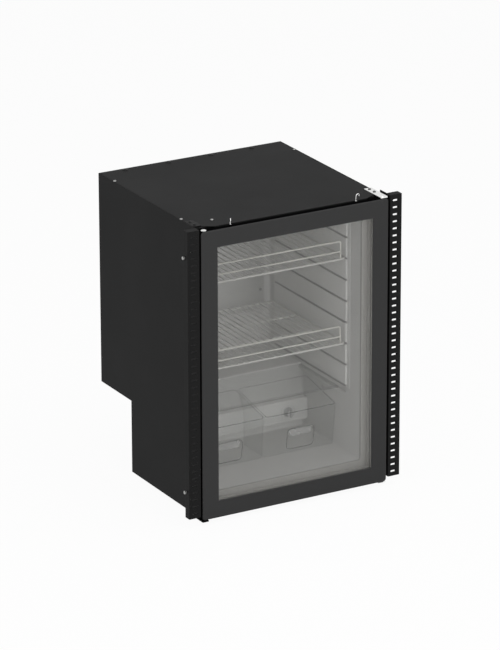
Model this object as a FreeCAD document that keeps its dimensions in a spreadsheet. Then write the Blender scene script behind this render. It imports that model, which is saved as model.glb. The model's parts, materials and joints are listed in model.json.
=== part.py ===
import FreeCAD, Part
import Sketcher
import math
import os

# Built-in outdoor refrigerator: stepped casing, glazed door hinged on the right, slotted mounting strips,
# two wire shelves, two crispers and a compressor bay behind the step.
# Frame: X to the right seen from the front, Y to the rear, Z up, origin under the middle of the part.

doc = FreeCAD.newDocument("outdoor_refrigerator")
sheet = doc.addObject("Spreadsheet::Sheet", "dims")

DRIVING = [
    # door
    ("door_width", 525, "outer width of the door"),
    ("door_height", 746, "outer height of the door"),
    ("door_border", 43, "flat border round the glass"),
    ("door_skin", 3, "wall of the door frame"),
    ("door_pan", 17, "depth of the door frame's returns"),
    ("door_corner", 8, "rounding of the door's corners"),
    ("door_edge", 4, "rounding of the door's front edge"),
    ("door_hang", 2.5, "door's lower edge below the casing's lower edge"),
    ("door_drop", 1, "door's upper edge below the casing's top"),
    ("bead_width", 2, "glazing bead round the opening"),
    ("bead_sink", 0.5, "bead's face behind the border's face"),
    ("pane", 4, "glass thickness"),
    ("pane_gap", 8, "gap between the panes"),
    ("pane_lap", 14, "pane edge hidden behind the border"),
    ("spacer_width", 10, "width of the spacer between the panes"),
    ("clamp", 3, "backing frame's lip behind the inner pane"),
    ("clamp_lap", 12, "how far the lip covers the inner pane"),
    ("play", 0.3, "clearance between loose pieces"),
    ("gasket_depth", 11, "gasket thickness"),
    ("gasket_width", 14, "gasket face width"),
    ("gasket_inset", 17, "gasket's outer edge in from the door's edge"),
    ("gasket_base", 3, "gasket's foot on the backing frame"),
    ("gasket_head", 4, "gasket's magnet head"),
    ("gasket_waist", 3, "gasket's waist, in from each side"),
    # casing
    ("casing_reveal", 1, "casing side in from the door's edge"),
    ("overall_depth", 529, "door face to rear panel"),
    ("plate", 1.5, "casing sheet"),
    ("seam", 0.8, "dark gap along the top panel's sides"),
    ("step_depth", 160, "depth of the compressor bay"),
    ("step_height", 191, "height of the compressor bay"),
    ("frame_depth", 7, "depth of the front frame"),
    ("top_gap", 1.5, "top panel's lip behind the door"),
    ("lip_drop", 10, "height of the top panel's front lip"),
    ("notch_depth", 16, "corner cut of the top panel, front to back"),
    ("notch_width", 18, "corner cut of the top panel at its rear"),
    ("notch_slope", 28, "slanted run of the corner cut"),
    # inner space
    ("wall_side", 55, "side wall, casing to inner face"),
    ("wall_floor", 54, "floor, casing to inner face"),
    ("wall_top", 50, "ceiling, casing to inner face"),
    ("wall_rear", 44, "rear wall, casing to inner face"),
    ("wall_hump", 49.5, "wall in front of the compressor bay"),
    ("wall_ledge", 33, "wall over the compressor bay"),
    ("liner_wall", 2, "liner thickness"),
    # mounting strips
    ("strip_gap", 5, "strip's inner edge out from the door's edge"),
    ("strip_flange", 32.5, "slotted face of the strip"),
    ("strip_sheet", 1.5, "strip sheet"),
    ("strip_set", 1, "slotted face behind the door's face"),
    ("strip_outer_leg", 20, "outer leg of the strip"),
    ("strip_inner_leg", 50, "inner leg of the strip"),
    ("strip_rise", 5.3, "strip's upper end above the casing"),
    ("strip_foot", 8.5, "strip's lower end above the casing's lower edge"),
    ("slot_pitch", 18.3, "slot to slot"),
    ("slot_length", 16.8, "slot end to end"),
    ("slot_width", 4.8, "slot across"),
    ("slot_first", 14.6, "first slot below the strip's upper end"),
    ("slot_in", 15.5, "slot column out from the strip's inner edge"),
    ("access_radius", 5.5, "access holes in the strip's inner leg"),
    ("access_back", 24, "access holes behind the door's face"),
    ("bolt_radius", 2.5, "side bolt shank"),
    ("bolt_head", 4.5, "side bolt head radius"),
    ("bolt_proud", 6, "side bolt standing out of the strip"),
    ("bolt_cap", 3.5, "side bolt head length"),
    ("bolt_back", 15, "side bolt behind the door's face"),
    ("bolt_end", 68, "side bolt from the strip's end"),
    ("bolt_nut", 4, "nut inside the strip's outer leg"),
    ("standoff_radius", 8, "stand-off between strip and casing"),
    ("standoff_back", 42, "stand-off behind the door's face"),
    # hinges
    ("axis_inset", 12, "hinge axis in from the door's edge"),
    ("axis_back", 11, "hinge axis behind the door's face"),
    ("hinge_plate", 2.5, "hinge plate thickness"),
    ("hinge_width", 21, "hinge plate width"),
    ("hinge_front", 4, "hinge plate's front edge behind the door's face"),
    ("hinge_rear", 85, "hinge plate's rear edge behind the door's face"),
    ("hinge_screw_one", 52, "first hinge screw behind the door's face"),
    ("hinge_screw_two", 75, "second hinge screw behind the door's face"),
    ("hinge_gap", 2.2, "lower hinge plate below the door's lower edge"),
    ("pin_radius", 3, "hinge pin"),
    ("pin_reach", 10, "hinge pin inside the door"),
    ("pin_clearance", 0.05, "running clearance round pins and shafts"),
    ("bush_radius", 5.5, "hinge bush outside"),
    ("bush_depth", 14, "hinge bush inside the door"),
    ("plug_radius", 7, "plug head over the unused hinge hole"),
    ("plug_rise", 2.5, "plug head height"),
    ("bracket_width", 18, "lower left bracket width"),
    ("bracket_length", 70, "lower left bracket length"),
    # fasteners
    ("screw_radius", 4, "screw head"),
    ("screw_rise", 2.2, "screw head height"),
    ("screw_shank", 2, "screw shank"),
    ("screw_length", 10, "screw shank below the head"),
    ("socket_radius", 1.6, "drive recess in a screw head"),
    ("socket_depth", 1.2, "depth of the drive recess"),
    ("rear_screw_radius", 7, "screw heads along the rear top edge"),
    ("rear_screw_inset", 10, "those heads in from the rear"),
    ("seam_screw_inset", 4.6, "seam screws in from the casing's side"),
    ("hook_wire", 0.9, "hook wire radius"),
    ("hook_height", 15, "taller hook's stem"),
    ("hook_curl", 3, "hook curl radius"),
    ("hook_reach", 8, "hook curl, out from the stem"),
    ("rivet_radius", 1.5, "rivet that holds a hook"),
    ("rivet_length", 2, "rivet that holds a hook"),
    # feet
    ("foot_height", 15, "foot"),
    ("foot_radius", 18, "foot where it meets the base"),
    ("foot_tread", 15, "foot where it meets the floor"),
    ("foot_side", 62, "foot in from the casing's side"),
    ("foot_front", 90, "front foot behind the door's face"),
    ("foot_rear", 30, "rear foot in front of the compressor bay"),
    # shelves
    ("rail", 6, "shelf support thickness"),
    ("rail_setback", 67, "shelf support behind the front frame"),
    ("rail_rear", 20, "shelf support short of the rear wall"),
    ("rail_end", 3, "shelf support short of ledge and ceiling"),
    ("groove_height", 6, "shelf groove"),
    ("groove_depth", 4, "shelf groove"),
    ("groove_first", 8, "lowest groove above the ledge"),
    ("groove_pitch", 55.9, "groove to groove"),
    ("shelf_rod", 2.5, "shelf frame rod radius"),
    ("shelf_wire", 1.6, "shelf deck wire radius"),
    ("shelf_pitch", 17.6, "deck wire to deck wire"),
    ("shelf_rail", 47, "height of the shelf's front rail"),
    ("shelf_rear", 25, "shelf short of the rear wall"),
    ("shelf_post", 2, "shelf front rail wire radius"),
    ("shelf_in", 20, "shelf front rail end in from the wall"),
    ("shelf_weld", 0.6, "how far welded wires sink into each other"),
    # crispers
    ("cover_thickness", 5, "crisper cover"),
    ("cover_drop", 7, "cover's underside below the ledge"),
    ("cover_front", 130, "cover's front edge behind the door's face"),
    ("cover_rail", 14, "ledge under the cover, out from the wall"),
    ("cover_rail_height", 6, "ledge under the cover"),
    ("crisper_height", 114, "crisper"),
    ("crisper_wall", 2, "crisper wall"),
    ("crisper_front", 150, "crisper's upper front edge behind the door's face"),
    ("crisper_rake", 14, "slope of the crisper's front"),
    ("crisper_gap", 3, "crisper from the middle and from the wall"),
    ("crisper_rear", 50, "crisper short of the hump"),
    ("crisper_lean", 29, "crisper's rear edge behind the foot of its rear wall"),
    ("crisper_under", 21, "crisper's rear edge under the cover"),
    ("crisper_over", 4, "bend in the crisper's rear wall over the control housing"),
    ("grip_width", 80, "crisper's moulded grip"),
    ("grip_low", 12, "grip's lower edge above the crisper's floor"),
    ("grip_high", 70, "grip's upper edge above the crisper's floor"),
    ("grip_rise", 4, "grip standing out of the crisper's front"),
    ("grip_rim", 4, "rim of the grip"),
    # evaporator and control
    ("evaporator_width", 364, "evaporator plate"),
    ("evaporator_low", 100, "evaporator's lower edge above the ledge"),
    ("evaporator_top", 20, "evaporator short of the ceiling"),
    ("evaporator_sheet", 2, "evaporator plate"),
    ("evaporator_gap", 6, "evaporator in front of the rear wall"),
    ("evaporator_edge", 10, "evaporator screws in from its sides"),
    ("evaporator_end", 53, "evaporator screws in from its lower and upper edge"),
    ("panel_low", 26, "control housing's underside above the inner floor"),
    ("panel_high", 85, "control housing's top above the inner floor"),
    ("panel_depth", 28, "control housing, out from the hump"),
    ("panel_wall", 2.5, "control housing's wall"),
    ("panel_side", 2, "control housing short of the side walls"),
    ("knob_radius", 13, "thermostat knob"),
    ("knob_depth", 13, "thermostat knob"),
    ("knob_rib", 5, "finger rib across the knob"),
    ("knob_rib_rise", 4, "finger rib standing out of the knob"),
    ("knob_shaft", 3, "thermostat shaft"),
    ("switch_radius", 10, "thermostat behind the housing's face"),
    ("knob_inset", 59.5, "knob in from the right wall"),
    ("knob_height", 54.5, "knob above the inner floor"),
    # compressor bay
    ("tray_left", 140, "tray's left end, left of the middle"),
    ("tray_right", 235, "tray's right end, right of the middle"),
    ("tray_plate", 2, "tray sheet"),
    ("tray_rear", 10, "tray short of the rear panel"),
    ("tray_lip", 28, "tray's upright lip"),
    ("grommet_radius", 9, "rubber grommet"),
    ("grommet_height", 12, "rubber grommet"),
    ("stud_radius", 3, "compressor bolt"),
    ("stud_proud", 9, "compressor bolt above the foot plate"),
    ("foot_plate", 3, "compressor foot plate"),
    ("foot_span_x", 150, "grommet to grommet across"),
    ("foot_span_y", 90, "grommet to grommet front to back"),
    ("shell_radius", 62, "compressor shell"),
    ("shell_height", 128, "compressor shell"),
    ("shell_dome", 34, "rounding of the shell"),
    ("shell_seam", 3, "weld seam standing out"),
    ("compressor_right", 140, "compressor right of the middle"),
    ("compressor_back", 78, "compressor behind the lower rear panel"),
    ("pipe_radius", 4, "copper pipe"),
    ("capillary", 2, "liquid line"),
    ("pipe_bend", 14, "copper pipe bend"),
    ("suction_left", 24, "suction pipe in from the left side"),
    ("suction_back", 62, "suction pipe behind the lower rear panel"),
    ("suction_drop", 20, "suction pipe below the step"),
    ("condenser_left", 130, "condenser's left end, left of the middle"),
    ("condenser_width", 140, "condenser"),
    ("condenser_height", 132, "condenser"),
    ("condenser_depth", 34, "condenser"),
    ("condenser_gap", 12, "condenser behind the lower rear panel"),
    ("condenser_lift", 6, "condenser above the tray"),
    ("fin_pitch", 8, "fin to fin"),
    ("fin", 1, "fin thickness"),
    ("coil_radius", 4, "condenser tube"),
    ("fan_depth", 26, "fan shroud"),
    ("fan_radius", 58, "bore of the shroud"),
    ("fan_tip", 3, "blade tip clearance"),
    ("fan_hub", 20, "fan hub"),
    ("fan_shaft", 2, "fan shaft"),
    ("fan_blade", 2, "blade thickness"),
    ("fan_blade_depth", 14, "blade, front to back"),
    ("fan_angle", 32, "blade angle in degrees"),
    ("fan_set", 2, "rotor behind the shroud's face"),
    ("motor_depth", 8, "fan motor plate"),
    ("spoke", 7, "spoke that carries the fan motor"),
    ("box_width", 46, "control box"),
    ("box_depth", 34, "control box"),
    ("box_height", 88, "control box"),
    ("box_left", 36, "control box right of the middle"),
    ("box_lift", 62, "control box above the tray"),
    ("drier_radius", 8, "filter drier"),
    ("drier_length", 70, "filter drier"),
    ("drier_low", 50, "filter drier above the tray"),
    ("drier_out", 12, "filter drier beside the condenser"),
    ("inlet_radius", 11, "cable inlet flange"),
    ("inlet_bore", 4.5, "cable inlet bore"),
    ("inlet_flange", 4, "cable inlet flange thickness"),
    ("inlet_boss", 7, "cable inlet boss radius"),
    ("inlet_length", 14, "cable inlet boss length"),
    ("inlet_inset", 60, "cable inlet in from the left side"),
    ("inlet_height", 60, "cable inlet above the casing's lower edge"),
]

# Each hook: in from the door's edge, turn of its curl in degrees, share of the stem
HOOKS = {"left": (93, 60, 0.65), "right": (80, 0, 1)}
REAR_SCREW_SHARES = (-0.73, -0.261, 0.2, 0.65)
# Seam screws: side, distance behind the door's face
SEAM_SCREWS = ((-1, 110), (-1, 451), (1, 451))
CORNER_SCREW = (67.5, 69)
ACCESS_STEP = 4
GROOVE_COUNT = 9
RAIL_SHARES = (0.43, 1)
SHELF_GROOVES = {"lower": 2, "upper": 6}
FAN_BLADES = 7
COIL_ROWS = 4


class Size:
    # A length with the sheet formula that it came from.
    def __init__(self, text, value):
        self.text = text
        self.value = float(value)

    def join(self, sign, other):
        other = as_size(other)
        value = {"+": self.value + other.value, "-": self.value - other.value,
                 "*": self.value * other.value, "/": self.value / (other.value or 1)}[sign]
        return Size(f"({self.text} {sign} {other.text})", value)

    def __add__(self, other):
        return self.join("+", other)

    def __sub__(self, other):
        return self.join("-", other)

    def __mul__(self, other):
        return self.join("*", other)

    def __truediv__(self, other):
        return self.join("/", other)

    def __neg__(self):
        return self.join("*", -1)


def as_size(number):
    return number if isinstance(number, Size) else Size(f"({number})", number)


class Dims:
    pass


dim = Dims()
for row, (alias, number, note) in enumerate(DRIVING, start=1):
    sheet.set(f"A{row}", note)
    sheet.set(f"B{row}", str(number))
    sheet.setAlias(f"B{row}", alias)
    setattr(dim, alias, Size(f"dims.{alias}", number))
doc.recompute()

nodes = []


def node(label, shape):
    shape.Label = label
    nodes.append(shape)
    return shape


TURN = {"x": FreeCAD.Rotation(FreeCAD.Vector(0, 1, 0), 90),
        "y": FreeCAD.Rotation(FreeCAD.Vector(1, 0, 0), -90),
        "z": FreeCAD.Rotation()}


def put(shape, place):
    for axis, size in zip("xyz", place):
        shape.setExpression("Placement.Base." + axis, as_size(size).text)


def block(x, y, z, name="block"):
    # Rectangular block between three pairs of planes.
    shape = doc.addObject("Part::Box", name)
    for side, (low, high) in zip(("Length", "Width", "Height"), (x, y, z)):
        shape.setExpression(side, (as_size(high) - low).text)
    put(shape, (x[0], y[0], z[0]))
    return shape


def rod(axis, start, radius, length, name="rod"):
    # Round bar from a start point along an axis.
    shape = doc.addObject("Part::Cylinder", name)
    shape.setExpression("Radius", radius.text)
    shape.setExpression("Height", as_size(length).text)
    shape.Placement = FreeCAD.Placement(FreeCAD.Vector(), TURN[axis])
    put(shape, start)
    return shape


def fuse(shapes, name="joined"):
    shape = doc.addObject("Part::MultiFuse", name)
    shape.Shapes = shapes
    shape.Refine = True
    return shape


def group(shapes, name="group"):
    shape = doc.addObject("Part::Compound", name)
    shape.Links = shapes
    return shape


def cut(base, tools, name="cut"):
    shape = doc.addObject("Part::Cut", name)
    shape.Base = base
    shape.Tool = tools[0] if len(tools) == 1 else group(tools)
    return shape


def ring(x, y, z, hole_x, hole_z, name="ring"):
    # Upright rectangular frame with a rectangular opening along Y.
    return cut(block(x, y, z), [block(hole_x, y, hole_z)], name)


PLANE = {"yz": "YZ_Plane", "xz": "XZ_Plane", "xy": "XY_Plane"}


def sketch_on(body, plane, offset):
    # Sketch on one of the body's own planes, moved along that plane's normal.
    sketch = body.newObject("Sketcher::SketchObject", "sketch")
    support = [f for f in body.Origin.OriginFeatures if f.Role == PLANE[plane]][0]
    sketch.AttachmentSupport = (support, "")
    sketch.MapMode = "FlatFace"
    sketch.setExpression("AttachmentOffset.Base.z", as_size(offset).text)
    return sketch


def fix_point(sketch, geo, end, place):
    # Hold a sketch point at its two sizes from the origin.
    for kind, size in zip(("DistanceX", "DistanceY"), place):
        index = sketch.addConstraint(Sketcher.Constraint(kind, -1, 1, geo, end, as_size(size).value))
        sketch.setExpression(f"Constraints[{index}]", as_size(size).text)


def draw_outline(sketch, outline):
    # Closed outline of straight edges.
    corners = [FreeCAD.Vector(as_size(u).value, as_size(v).value, 0) for u, v in outline]
    count = len(corners)
    for i in range(count):
        sketch.addGeometry(Part.LineSegment(corners[i], corners[(i + 1) % count]))
    for i in range(count):
        sketch.addConstraint(Sketcher.Constraint("Coincident", i, 2, (i + 1) % count, 1))
        fix_point(sketch, i, 1, outline[i])


def draw_slot(sketch, middle, length, width):
    # Slot with round ends, lying along the sketch's first axis.
    radius = width / 2
    reach = (length - width) / 2
    ends = (middle[0] - reach, middle[1]), (middle[0] + reach, middle[1])
    for end, start_angle in zip(ends, (math.pi / 2, -math.pi / 2)):
        centre = FreeCAD.Vector(end[0].value, end[1].value, 0)
        circle = Part.Circle(centre, FreeCAD.Vector(0, 0, 1), radius.value)
        sketch.addGeometry(Part.ArcOfCircle(circle, start_angle, start_angle + math.pi))
    low, high = middle[1].value - radius.value, middle[1].value + radius.value
    left, right = ends[0][0].value, ends[1][0].value
    sketch.addGeometry(Part.LineSegment(FreeCAD.Vector(left, low, 0), FreeCAD.Vector(right, low, 0)))
    sketch.addGeometry(Part.LineSegment(FreeCAD.Vector(right, high, 0), FreeCAD.Vector(left, high, 0)))
    for first, first_end, second, second_end in ((0, 2, 2, 1), (2, 2, 1, 1), (1, 2, 3, 1), (3, 2, 0, 1)):
        sketch.addConstraint(Sketcher.Constraint("Tangent", first, first_end, second, second_end))
    for geo, end in enumerate(ends):
        fix_point(sketch, geo, 3, end)
        index = sketch.addConstraint(Sketcher.Constraint("Radius", geo, radius.value))
        sketch.setExpression(f"Constraints[{index}]", radius.text)


def pad(body, plane, outline, low, high):
    # Straight solid between two planes; the XZ plane faces forward, so its solid grows from the high side.
    start = -as_size(high) if plane == "xz" else low
    sketch = sketch_on(body, plane, start)
    draw_outline(sketch, outline)
    feature = body.newObject("PartDesign::Pad", "pad")
    feature.Profile = sketch
    feature.setExpression("Length", (as_size(high) - low).text)
    return feature


def pocket(body, sketch, depth):
    feature = body.newObject("PartDesign::Pocket", "pocket")
    feature.Profile = sketch
    feature.setExpression("Length", as_size(depth).text)
    return feature


def new_body(name):
    return doc.addObject("PartDesign::Body", name)


def prism(name, plane, outline, low, high):
    body = new_body(name)
    pad(body, plane, outline, low, high)
    return body


def bent_pipe(name, points, radius, bend):
    # Round pipe along straight runs joined by tangent arcs.
    points = [FreeCAD.Vector(*(as_size(c).value for c in p)) for p in points]
    edges = []
    start = points[0]
    for before, corner, after in zip(points, points[1:], points[2:]):
        into = (corner - before).normalize()
        out = (after - corner).normalize()
        half = math.acos(max(-1, min(1, into.dot(out)))) / 2
        back = bend.value * math.tan(half)
        first, last = corner - into * back, corner + out * back
        centre = corner + (out - into).normalize() * (bend.value / math.cos(half))
        middle = centre + (corner - centre).normalize() * bend.value
        edges += [Part.LineSegment(start, first).toShape(), Part.Arc(first, middle, last).toShape()]
        start = last
    edges.append(Part.LineSegment(start, points[-1]).toShape())
    path = Part.Wire(edges)
    section = Part.Wire(Part.Circle(points[0], (points[1] - points[0]).normalize(), radius.value).toShape())
    shape = doc.addObject("Part::Feature", name)
    shape.Shape = path.makePipeShell([section], True, False)
    expected = math.pi * radius.value ** 2 * path.Length
    assert abs(shape.Shape.Volume / expected - 1) < 0.02, name
    return shape


def pin_on(axis, seat, flip, low, high, radius):
    # Round bar between two distances from a seat, measured along the axis, or against it where flip is -1.
    place = list(seat)
    along = "xyz".index(axis)
    place[along] = as_size(seat[along]) + (low if flip > 0 else -high)
    return rod(axis, place, radius, high - low)


def screw(axis, seat, flip, length, radius=dim.screw_radius):
    # Pan screw: head out of the seat, shank into it, round drive recess in the head.
    head = pin_on(axis, seat, flip, zero, dim.screw_rise, radius)
    shank = pin_on(axis, seat, flip, -length, zero, dim.screw_shank)
    recess = pin_on(axis, seat, flip, dim.screw_rise - dim.socket_depth, dim.screw_rise, dim.socket_radius)
    return cut(fuse([head, shank]), [recess], "screw")


def hex_head(axis, start, radius, height):
    shape = doc.addObject("Part::Prism", "hex_head")
    shape.Polygon = 6
    shape.setExpression("Circumradius", radius.text)
    shape.setExpression("Height", height.text)
    shape.Placement = FreeCAD.Placement(FreeCAD.Vector(), TURN[axis])
    put(shape, start)
    return shape


def round_edges(base, pick, radius):
    # Fillet on every edge of the base that pick accepts.
    doc.recompute()
    shape = doc.addObject("Part::Fillet", "rounded")
    shape.Base = base
    picked = [i for i, edge in enumerate(base.Shape.Edges, start=1) if pick(edge)]
    shape.Edges = [(i, radius.value, radius.value) for i in picked]
    return shape


def span(half):
    return -as_size(half), as_size(half)


def inward(pair, by):
    return pair[0] + by, pair[1] - by


def on_side(sign, inner, outer):
    # The stretch from inner to outer on the left (-1) or right (1) half.
    return (inner, outer) if sign > 0 else (-outer, -inner)


zero = as_size(0)
SIDES = (("left", -1), ("right", 1))

# Planes across the part
half_door = dim.door_width / 2
half_case = half_door - dim.casing_reveal
half_core = half_case - dim.plate
in_half = half_case - dim.wall_side

# Planes up the part
case_low = dim.foot_height
door_low = case_low - dim.door_hang
door_high = door_low + dim.door_height
case_high = door_high + dim.door_drop
step_z = case_low + dim.step_height
in_floor = case_low + dim.wall_floor
in_top = case_high - dim.wall_top
ledge = step_z + dim.wall_ledge

# Planes from front to rear
front = -dim.overall_depth / 2
rear = dim.overall_depth / 2
border_back = front + dim.door_skin
pane_one_back = border_back + dim.pane
gap_back = pane_one_back + dim.pane_gap
pane_two_back = gap_back + dim.pane
backing_rear = pane_two_back + dim.clamp
gasket_rear = backing_rear + dim.gasket_depth
case_front = gasket_rear + dim.play
frame_rear = case_front + dim.frame_depth
top_front = backing_rear + dim.top_gap
notch_rear = top_front + dim.notch_depth
step_y = rear - dim.step_depth
in_rear = rear - dim.wall_rear
hump = step_y - dim.wall_hump

# Screws of the casing, made first because panels and insulation have their holes
seam_x = half_case - dim.seam_screw_inset
top_seats = [(seam_x * sign, front + place, case_high) for sign, place in SEAM_SCREWS]
top_seats.append((-half_door + CORNER_SCREW[0], front + CORNER_SCREW[1], case_high))
top_screws = node("top_screws", group([screw("z", seat, 1, dim.screw_length) for seat in top_seats]))
rear_seats = [(half_door * share, rear - dim.rear_screw_inset, case_high) for share in REAR_SCREW_SHARES]

hinge_mid = half_door - dim.hinge_width / 2
hinge_rows = [front + dim.hinge_screw_one, front + dim.hinge_screw_two]
hinge_top = case_high + dim.hinge_plate
hinge_rest = door_low - dim.hinge_gap
hinge_low = hinge_rest - dim.hinge_plate
hinge_screws = node("hinge_screws", group(
    [screw("z", (hinge_mid, y, hinge_top), 1, dim.screw_length) for y in hinge_rows]
    + [screw("z", (hinge_mid, y, hinge_low), -1, dim.screw_length) for y in hinge_rows]))
bracket_mid = half_door - dim.bracket_width / 2
bracket_rear = front + dim.bracket_length
bracket_rows = [bracket_rear - dim.screw_radius * 2, bracket_rear - dim.screw_radius * 6]
black_screws = node("black_screws", group(
    [screw("z", seat, 1, dim.screw_length, dim.rear_screw_radius) for seat in rear_seats]
    + [screw("z", (-hinge_mid, y, hinge_top), 1, dim.screw_length) for y in hinge_rows]
    + [screw("z", (-bracket_mid, y, hinge_low), -1, dim.screw_length) for y in bracket_rows]))

# Mounting strips: folded channels open to the rear, with one column of slots
strip_in = half_door + dim.strip_gap
strip_out = strip_in + dim.strip_flange
strip_front = front + dim.strip_set
strip_web = strip_front + dim.strip_sheet
strip_outer_end = strip_front + dim.strip_outer_leg
strip_inner_end = strip_front + dim.strip_inner_leg
strip_low = case_low + dim.strip_foot
strip_high = case_high + dim.strip_rise
slot_room = strip_high - dim.slot_first - strip_low - dim.slot_width
slot_count = int(slot_room.value / dim.slot_pitch.value) + 1
slot_low = strip_high - dim.slot_first - dim.slot_pitch * (slot_count - 1)
bolt_heights = [(strip_high - dim.bolt_end, -1), (strip_low + dim.bolt_end, 1)]
strip_screw_length = dim.strip_sheet + dim.strip_gap + dim.casing_reveal + dim.plate
bolts, standoffs, strip_screw_list = [], [], []


def strip_channel(sign):
    body = new_body("strip")
    inner, outer, sheet_in = strip_in * sign, strip_out * sign, dim.strip_sheet * sign
    profile = [(inner, strip_front), (outer, strip_front), (outer, strip_outer_end),
               (outer - sheet_in, strip_outer_end), (outer - sheet_in, strip_web),
               (inner + sheet_in, strip_web), (inner + sheet_in, strip_inner_end), (inner, strip_inner_end)]
    pad(body, "xy", profile, strip_low, strip_high)
    tab = [(inner, strip_front), (outer, strip_front), (outer, strip_outer_end), (inner, strip_outer_end)]
    pad(body, "xy", tab, strip_low, strip_low + dim.strip_sheet)
    pad(body, "xy", tab, strip_high - dim.strip_sheet, strip_high)
    sketch = sketch_on(body, "xz", -strip_front)
    draw_slot(sketch, ((strip_in + dim.slot_in) * sign, slot_low), dim.slot_length, dim.slot_width)
    slot = pocket(body, sketch, dim.strip_sheet)
    doc.recompute()
    column = body.newObject("PartDesign::LinearPattern", "slot_column")
    column.Originals = [slot]
    column.Direction = (sketch, ["V_Axis"])
    column.setExpression("Length", (dim.slot_pitch * (slot_count - 1)).text)
    column.Occurrences = slot_count
    body.Tip = column
    return body


for name, sign in SIDES:
    side_bolts, side_screws, access = [], [], []
    inner_leg = on_side(sign, strip_in, strip_in + dim.strip_sheet)
    gap = on_side(sign, half_case, strip_in)
    nut = on_side(sign, strip_out - dim.strip_sheet - dim.bolt_nut, strip_out - dim.strip_sheet)
    cap = on_side(sign, strip_out + dim.bolt_proud - dim.bolt_cap, strip_out + dim.bolt_proud)
    reach = on_side(sign, strip_out - dim.strip_sheet - dim.bolt_nut * 1.25, strip_out + dim.bolt_proud)
    for z, inwards in bolt_heights:
        shank = rod("x", (reach[0], front + dim.bolt_back, z), dim.bolt_radius, reach[1] - reach[0])
        hexes = [hex_head("x", (end[0], front + dim.bolt_back, z), dim.bolt_head, end[1] - end[0])
                 for end in (nut, cap)]
        side_bolts.append(fuse([shank] + hexes))
        seat = ((strip_in + dim.strip_sheet) * sign, front + dim.standoff_back, z)
        side_screws.append(screw("x", seat, sign, strip_screw_length))
        sleeve = rod("x", (gap[0], front + dim.standoff_back, z), dim.standoff_radius, gap[1] - gap[0])
        standoffs.append(cut(sleeve, [side_screws[-1]]))
        for height in (z, z + dim.slot_pitch * ACCESS_STEP * inwards):
            access.append(rod("x", (inner_leg[0], front + dim.access_back, height), dim.access_radius,
                              inner_leg[1] - inner_leg[0]))
    node("mounting_strip_" + name, cut(strip_channel(sign), side_bolts + side_screws + access))
    bolts += side_bolts
    strip_screw_list += side_screws
node("strip_bolts", group(bolts))
node("strip_standoffs", group(standoffs))
strip_screws = node("strip_screws", group(strip_screw_list))

# Copper lines that pass through the underside of the step
tray_top = case_low + dim.tray_plate
shell_x = dim.compressor_right
shell_y = step_y + dim.compressor_back
shell_low = tray_top + dim.grommet_height + dim.foot_plate
shell_high = shell_low + dim.shell_height
pipe_root = step_z + dim.plate + dim.suction_drop / 2
stub = dim.pipe_radius * 2
suction_x = -half_case + dim.suction_left
suction_y = step_y + dim.suction_back
suction_z = step_z - dim.suction_drop
suction_end = shell_x + dim.pipe_bend
suction_pipe = node("suction_pipe", bent_pipe("suction", [
    (suction_x, suction_y, pipe_root), (suction_x, suction_y, suction_z),
    (suction_end, suction_y, suction_z), (suction_end, suction_y, shell_high - stub)],
    dim.pipe_radius, dim.pipe_bend))

coil_x = (-dim.condenser_left, -dim.condenser_left + dim.condenser_width)
coil_y = (step_y + dim.condenser_gap, step_y + dim.condenser_gap + dim.condenser_depth)
coil_z = (tray_top + dim.condenser_lift, tray_top + dim.condenser_lift + dim.condenser_height)
coil_columns = (coil_y[0] + dim.condenser_depth / 4, coil_y[1] - dim.condenser_depth / 4)
coil_rows = [coil_z[0] + dim.condenser_height * (0.5 + i) / COIL_ROWS for i in range(COIL_ROWS)]
drier_x = coil_x[1] + dim.drier_out
drier_z = (tray_top + dim.drier_low, tray_top + dim.drier_low + dim.drier_length)
lower_line = bent_pipe("lower_line", [
    (coil_x[1], coil_columns[0], coil_rows[0]), (drier_x, coil_columns[0], coil_rows[0]),
    (drier_x, coil_columns[0], drier_z[0])], dim.capillary, dim.capillary * 3)
upper_line = rod("z", (drier_x, coil_columns[0], drier_z[1]), dim.capillary, pipe_root - drier_z[1])
liquid_line = node("liquid_line", group([lower_line, upper_line]))

# Casing
stepped = [(case_front, case_low), (step_y, case_low), (step_y, step_z), (rear, step_z),
           (rear, case_high), (case_front, case_high)]
for name, sign in SIDES:
    panel = prism("side_panel", "yz", stepped, *on_side(sign, half_core, half_case))
    node("side_panel_" + name, cut(panel, [strip_screws]))

top_half = half_core - dim.seam
notch_in = top_half - dim.notch_width
lip_half = notch_in - dim.notch_slope
top = new_body("top_sheet")
pad(top, "xy", [(-top_half, notch_rear), (-notch_in, notch_rear), (-lip_half, top_front),
                (lip_half, top_front), (notch_in, notch_rear), (top_half, notch_rear),
                (top_half, rear), (-top_half, rear)],
    case_high - dim.plate, case_high)
pad(top, "xz", [(-lip_half, case_high - dim.lip_drop), (lip_half, case_high - dim.lip_drop),
                (lip_half, case_high - dim.plate), (-lip_half, case_high - dim.plate)],
    top_front, top_front + dim.plate)
node("top_panel", cut(top, [top_screws, black_screws, hinge_screws]))

node("rear_panel", block(span(half_core), (rear - dim.plate, rear), (step_z, case_high - dim.plate)))
step_sheet = block(span(half_core), (step_y, rear - dim.plate), (step_z, step_z + dim.plate))
node("step_panel", cut(step_sheet, [suction_pipe, upper_line]))
node("recess_panel", block(span(half_core), (step_y - dim.plate, step_y), (case_low, step_z + dim.plate)))
base_sheet = block(span(half_core), (case_front, step_y - dim.plate), (case_low, case_low + dim.plate))
node("base_panel", cut(base_sheet, [hinge_screws, black_screws]))
node("front_frame", cut(
    ring(span(half_core), (case_front, frame_rear), (case_low + dim.plate, case_high - dim.plate),
         span(in_half), (in_floor, in_top)), [strip_screws]))


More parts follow.
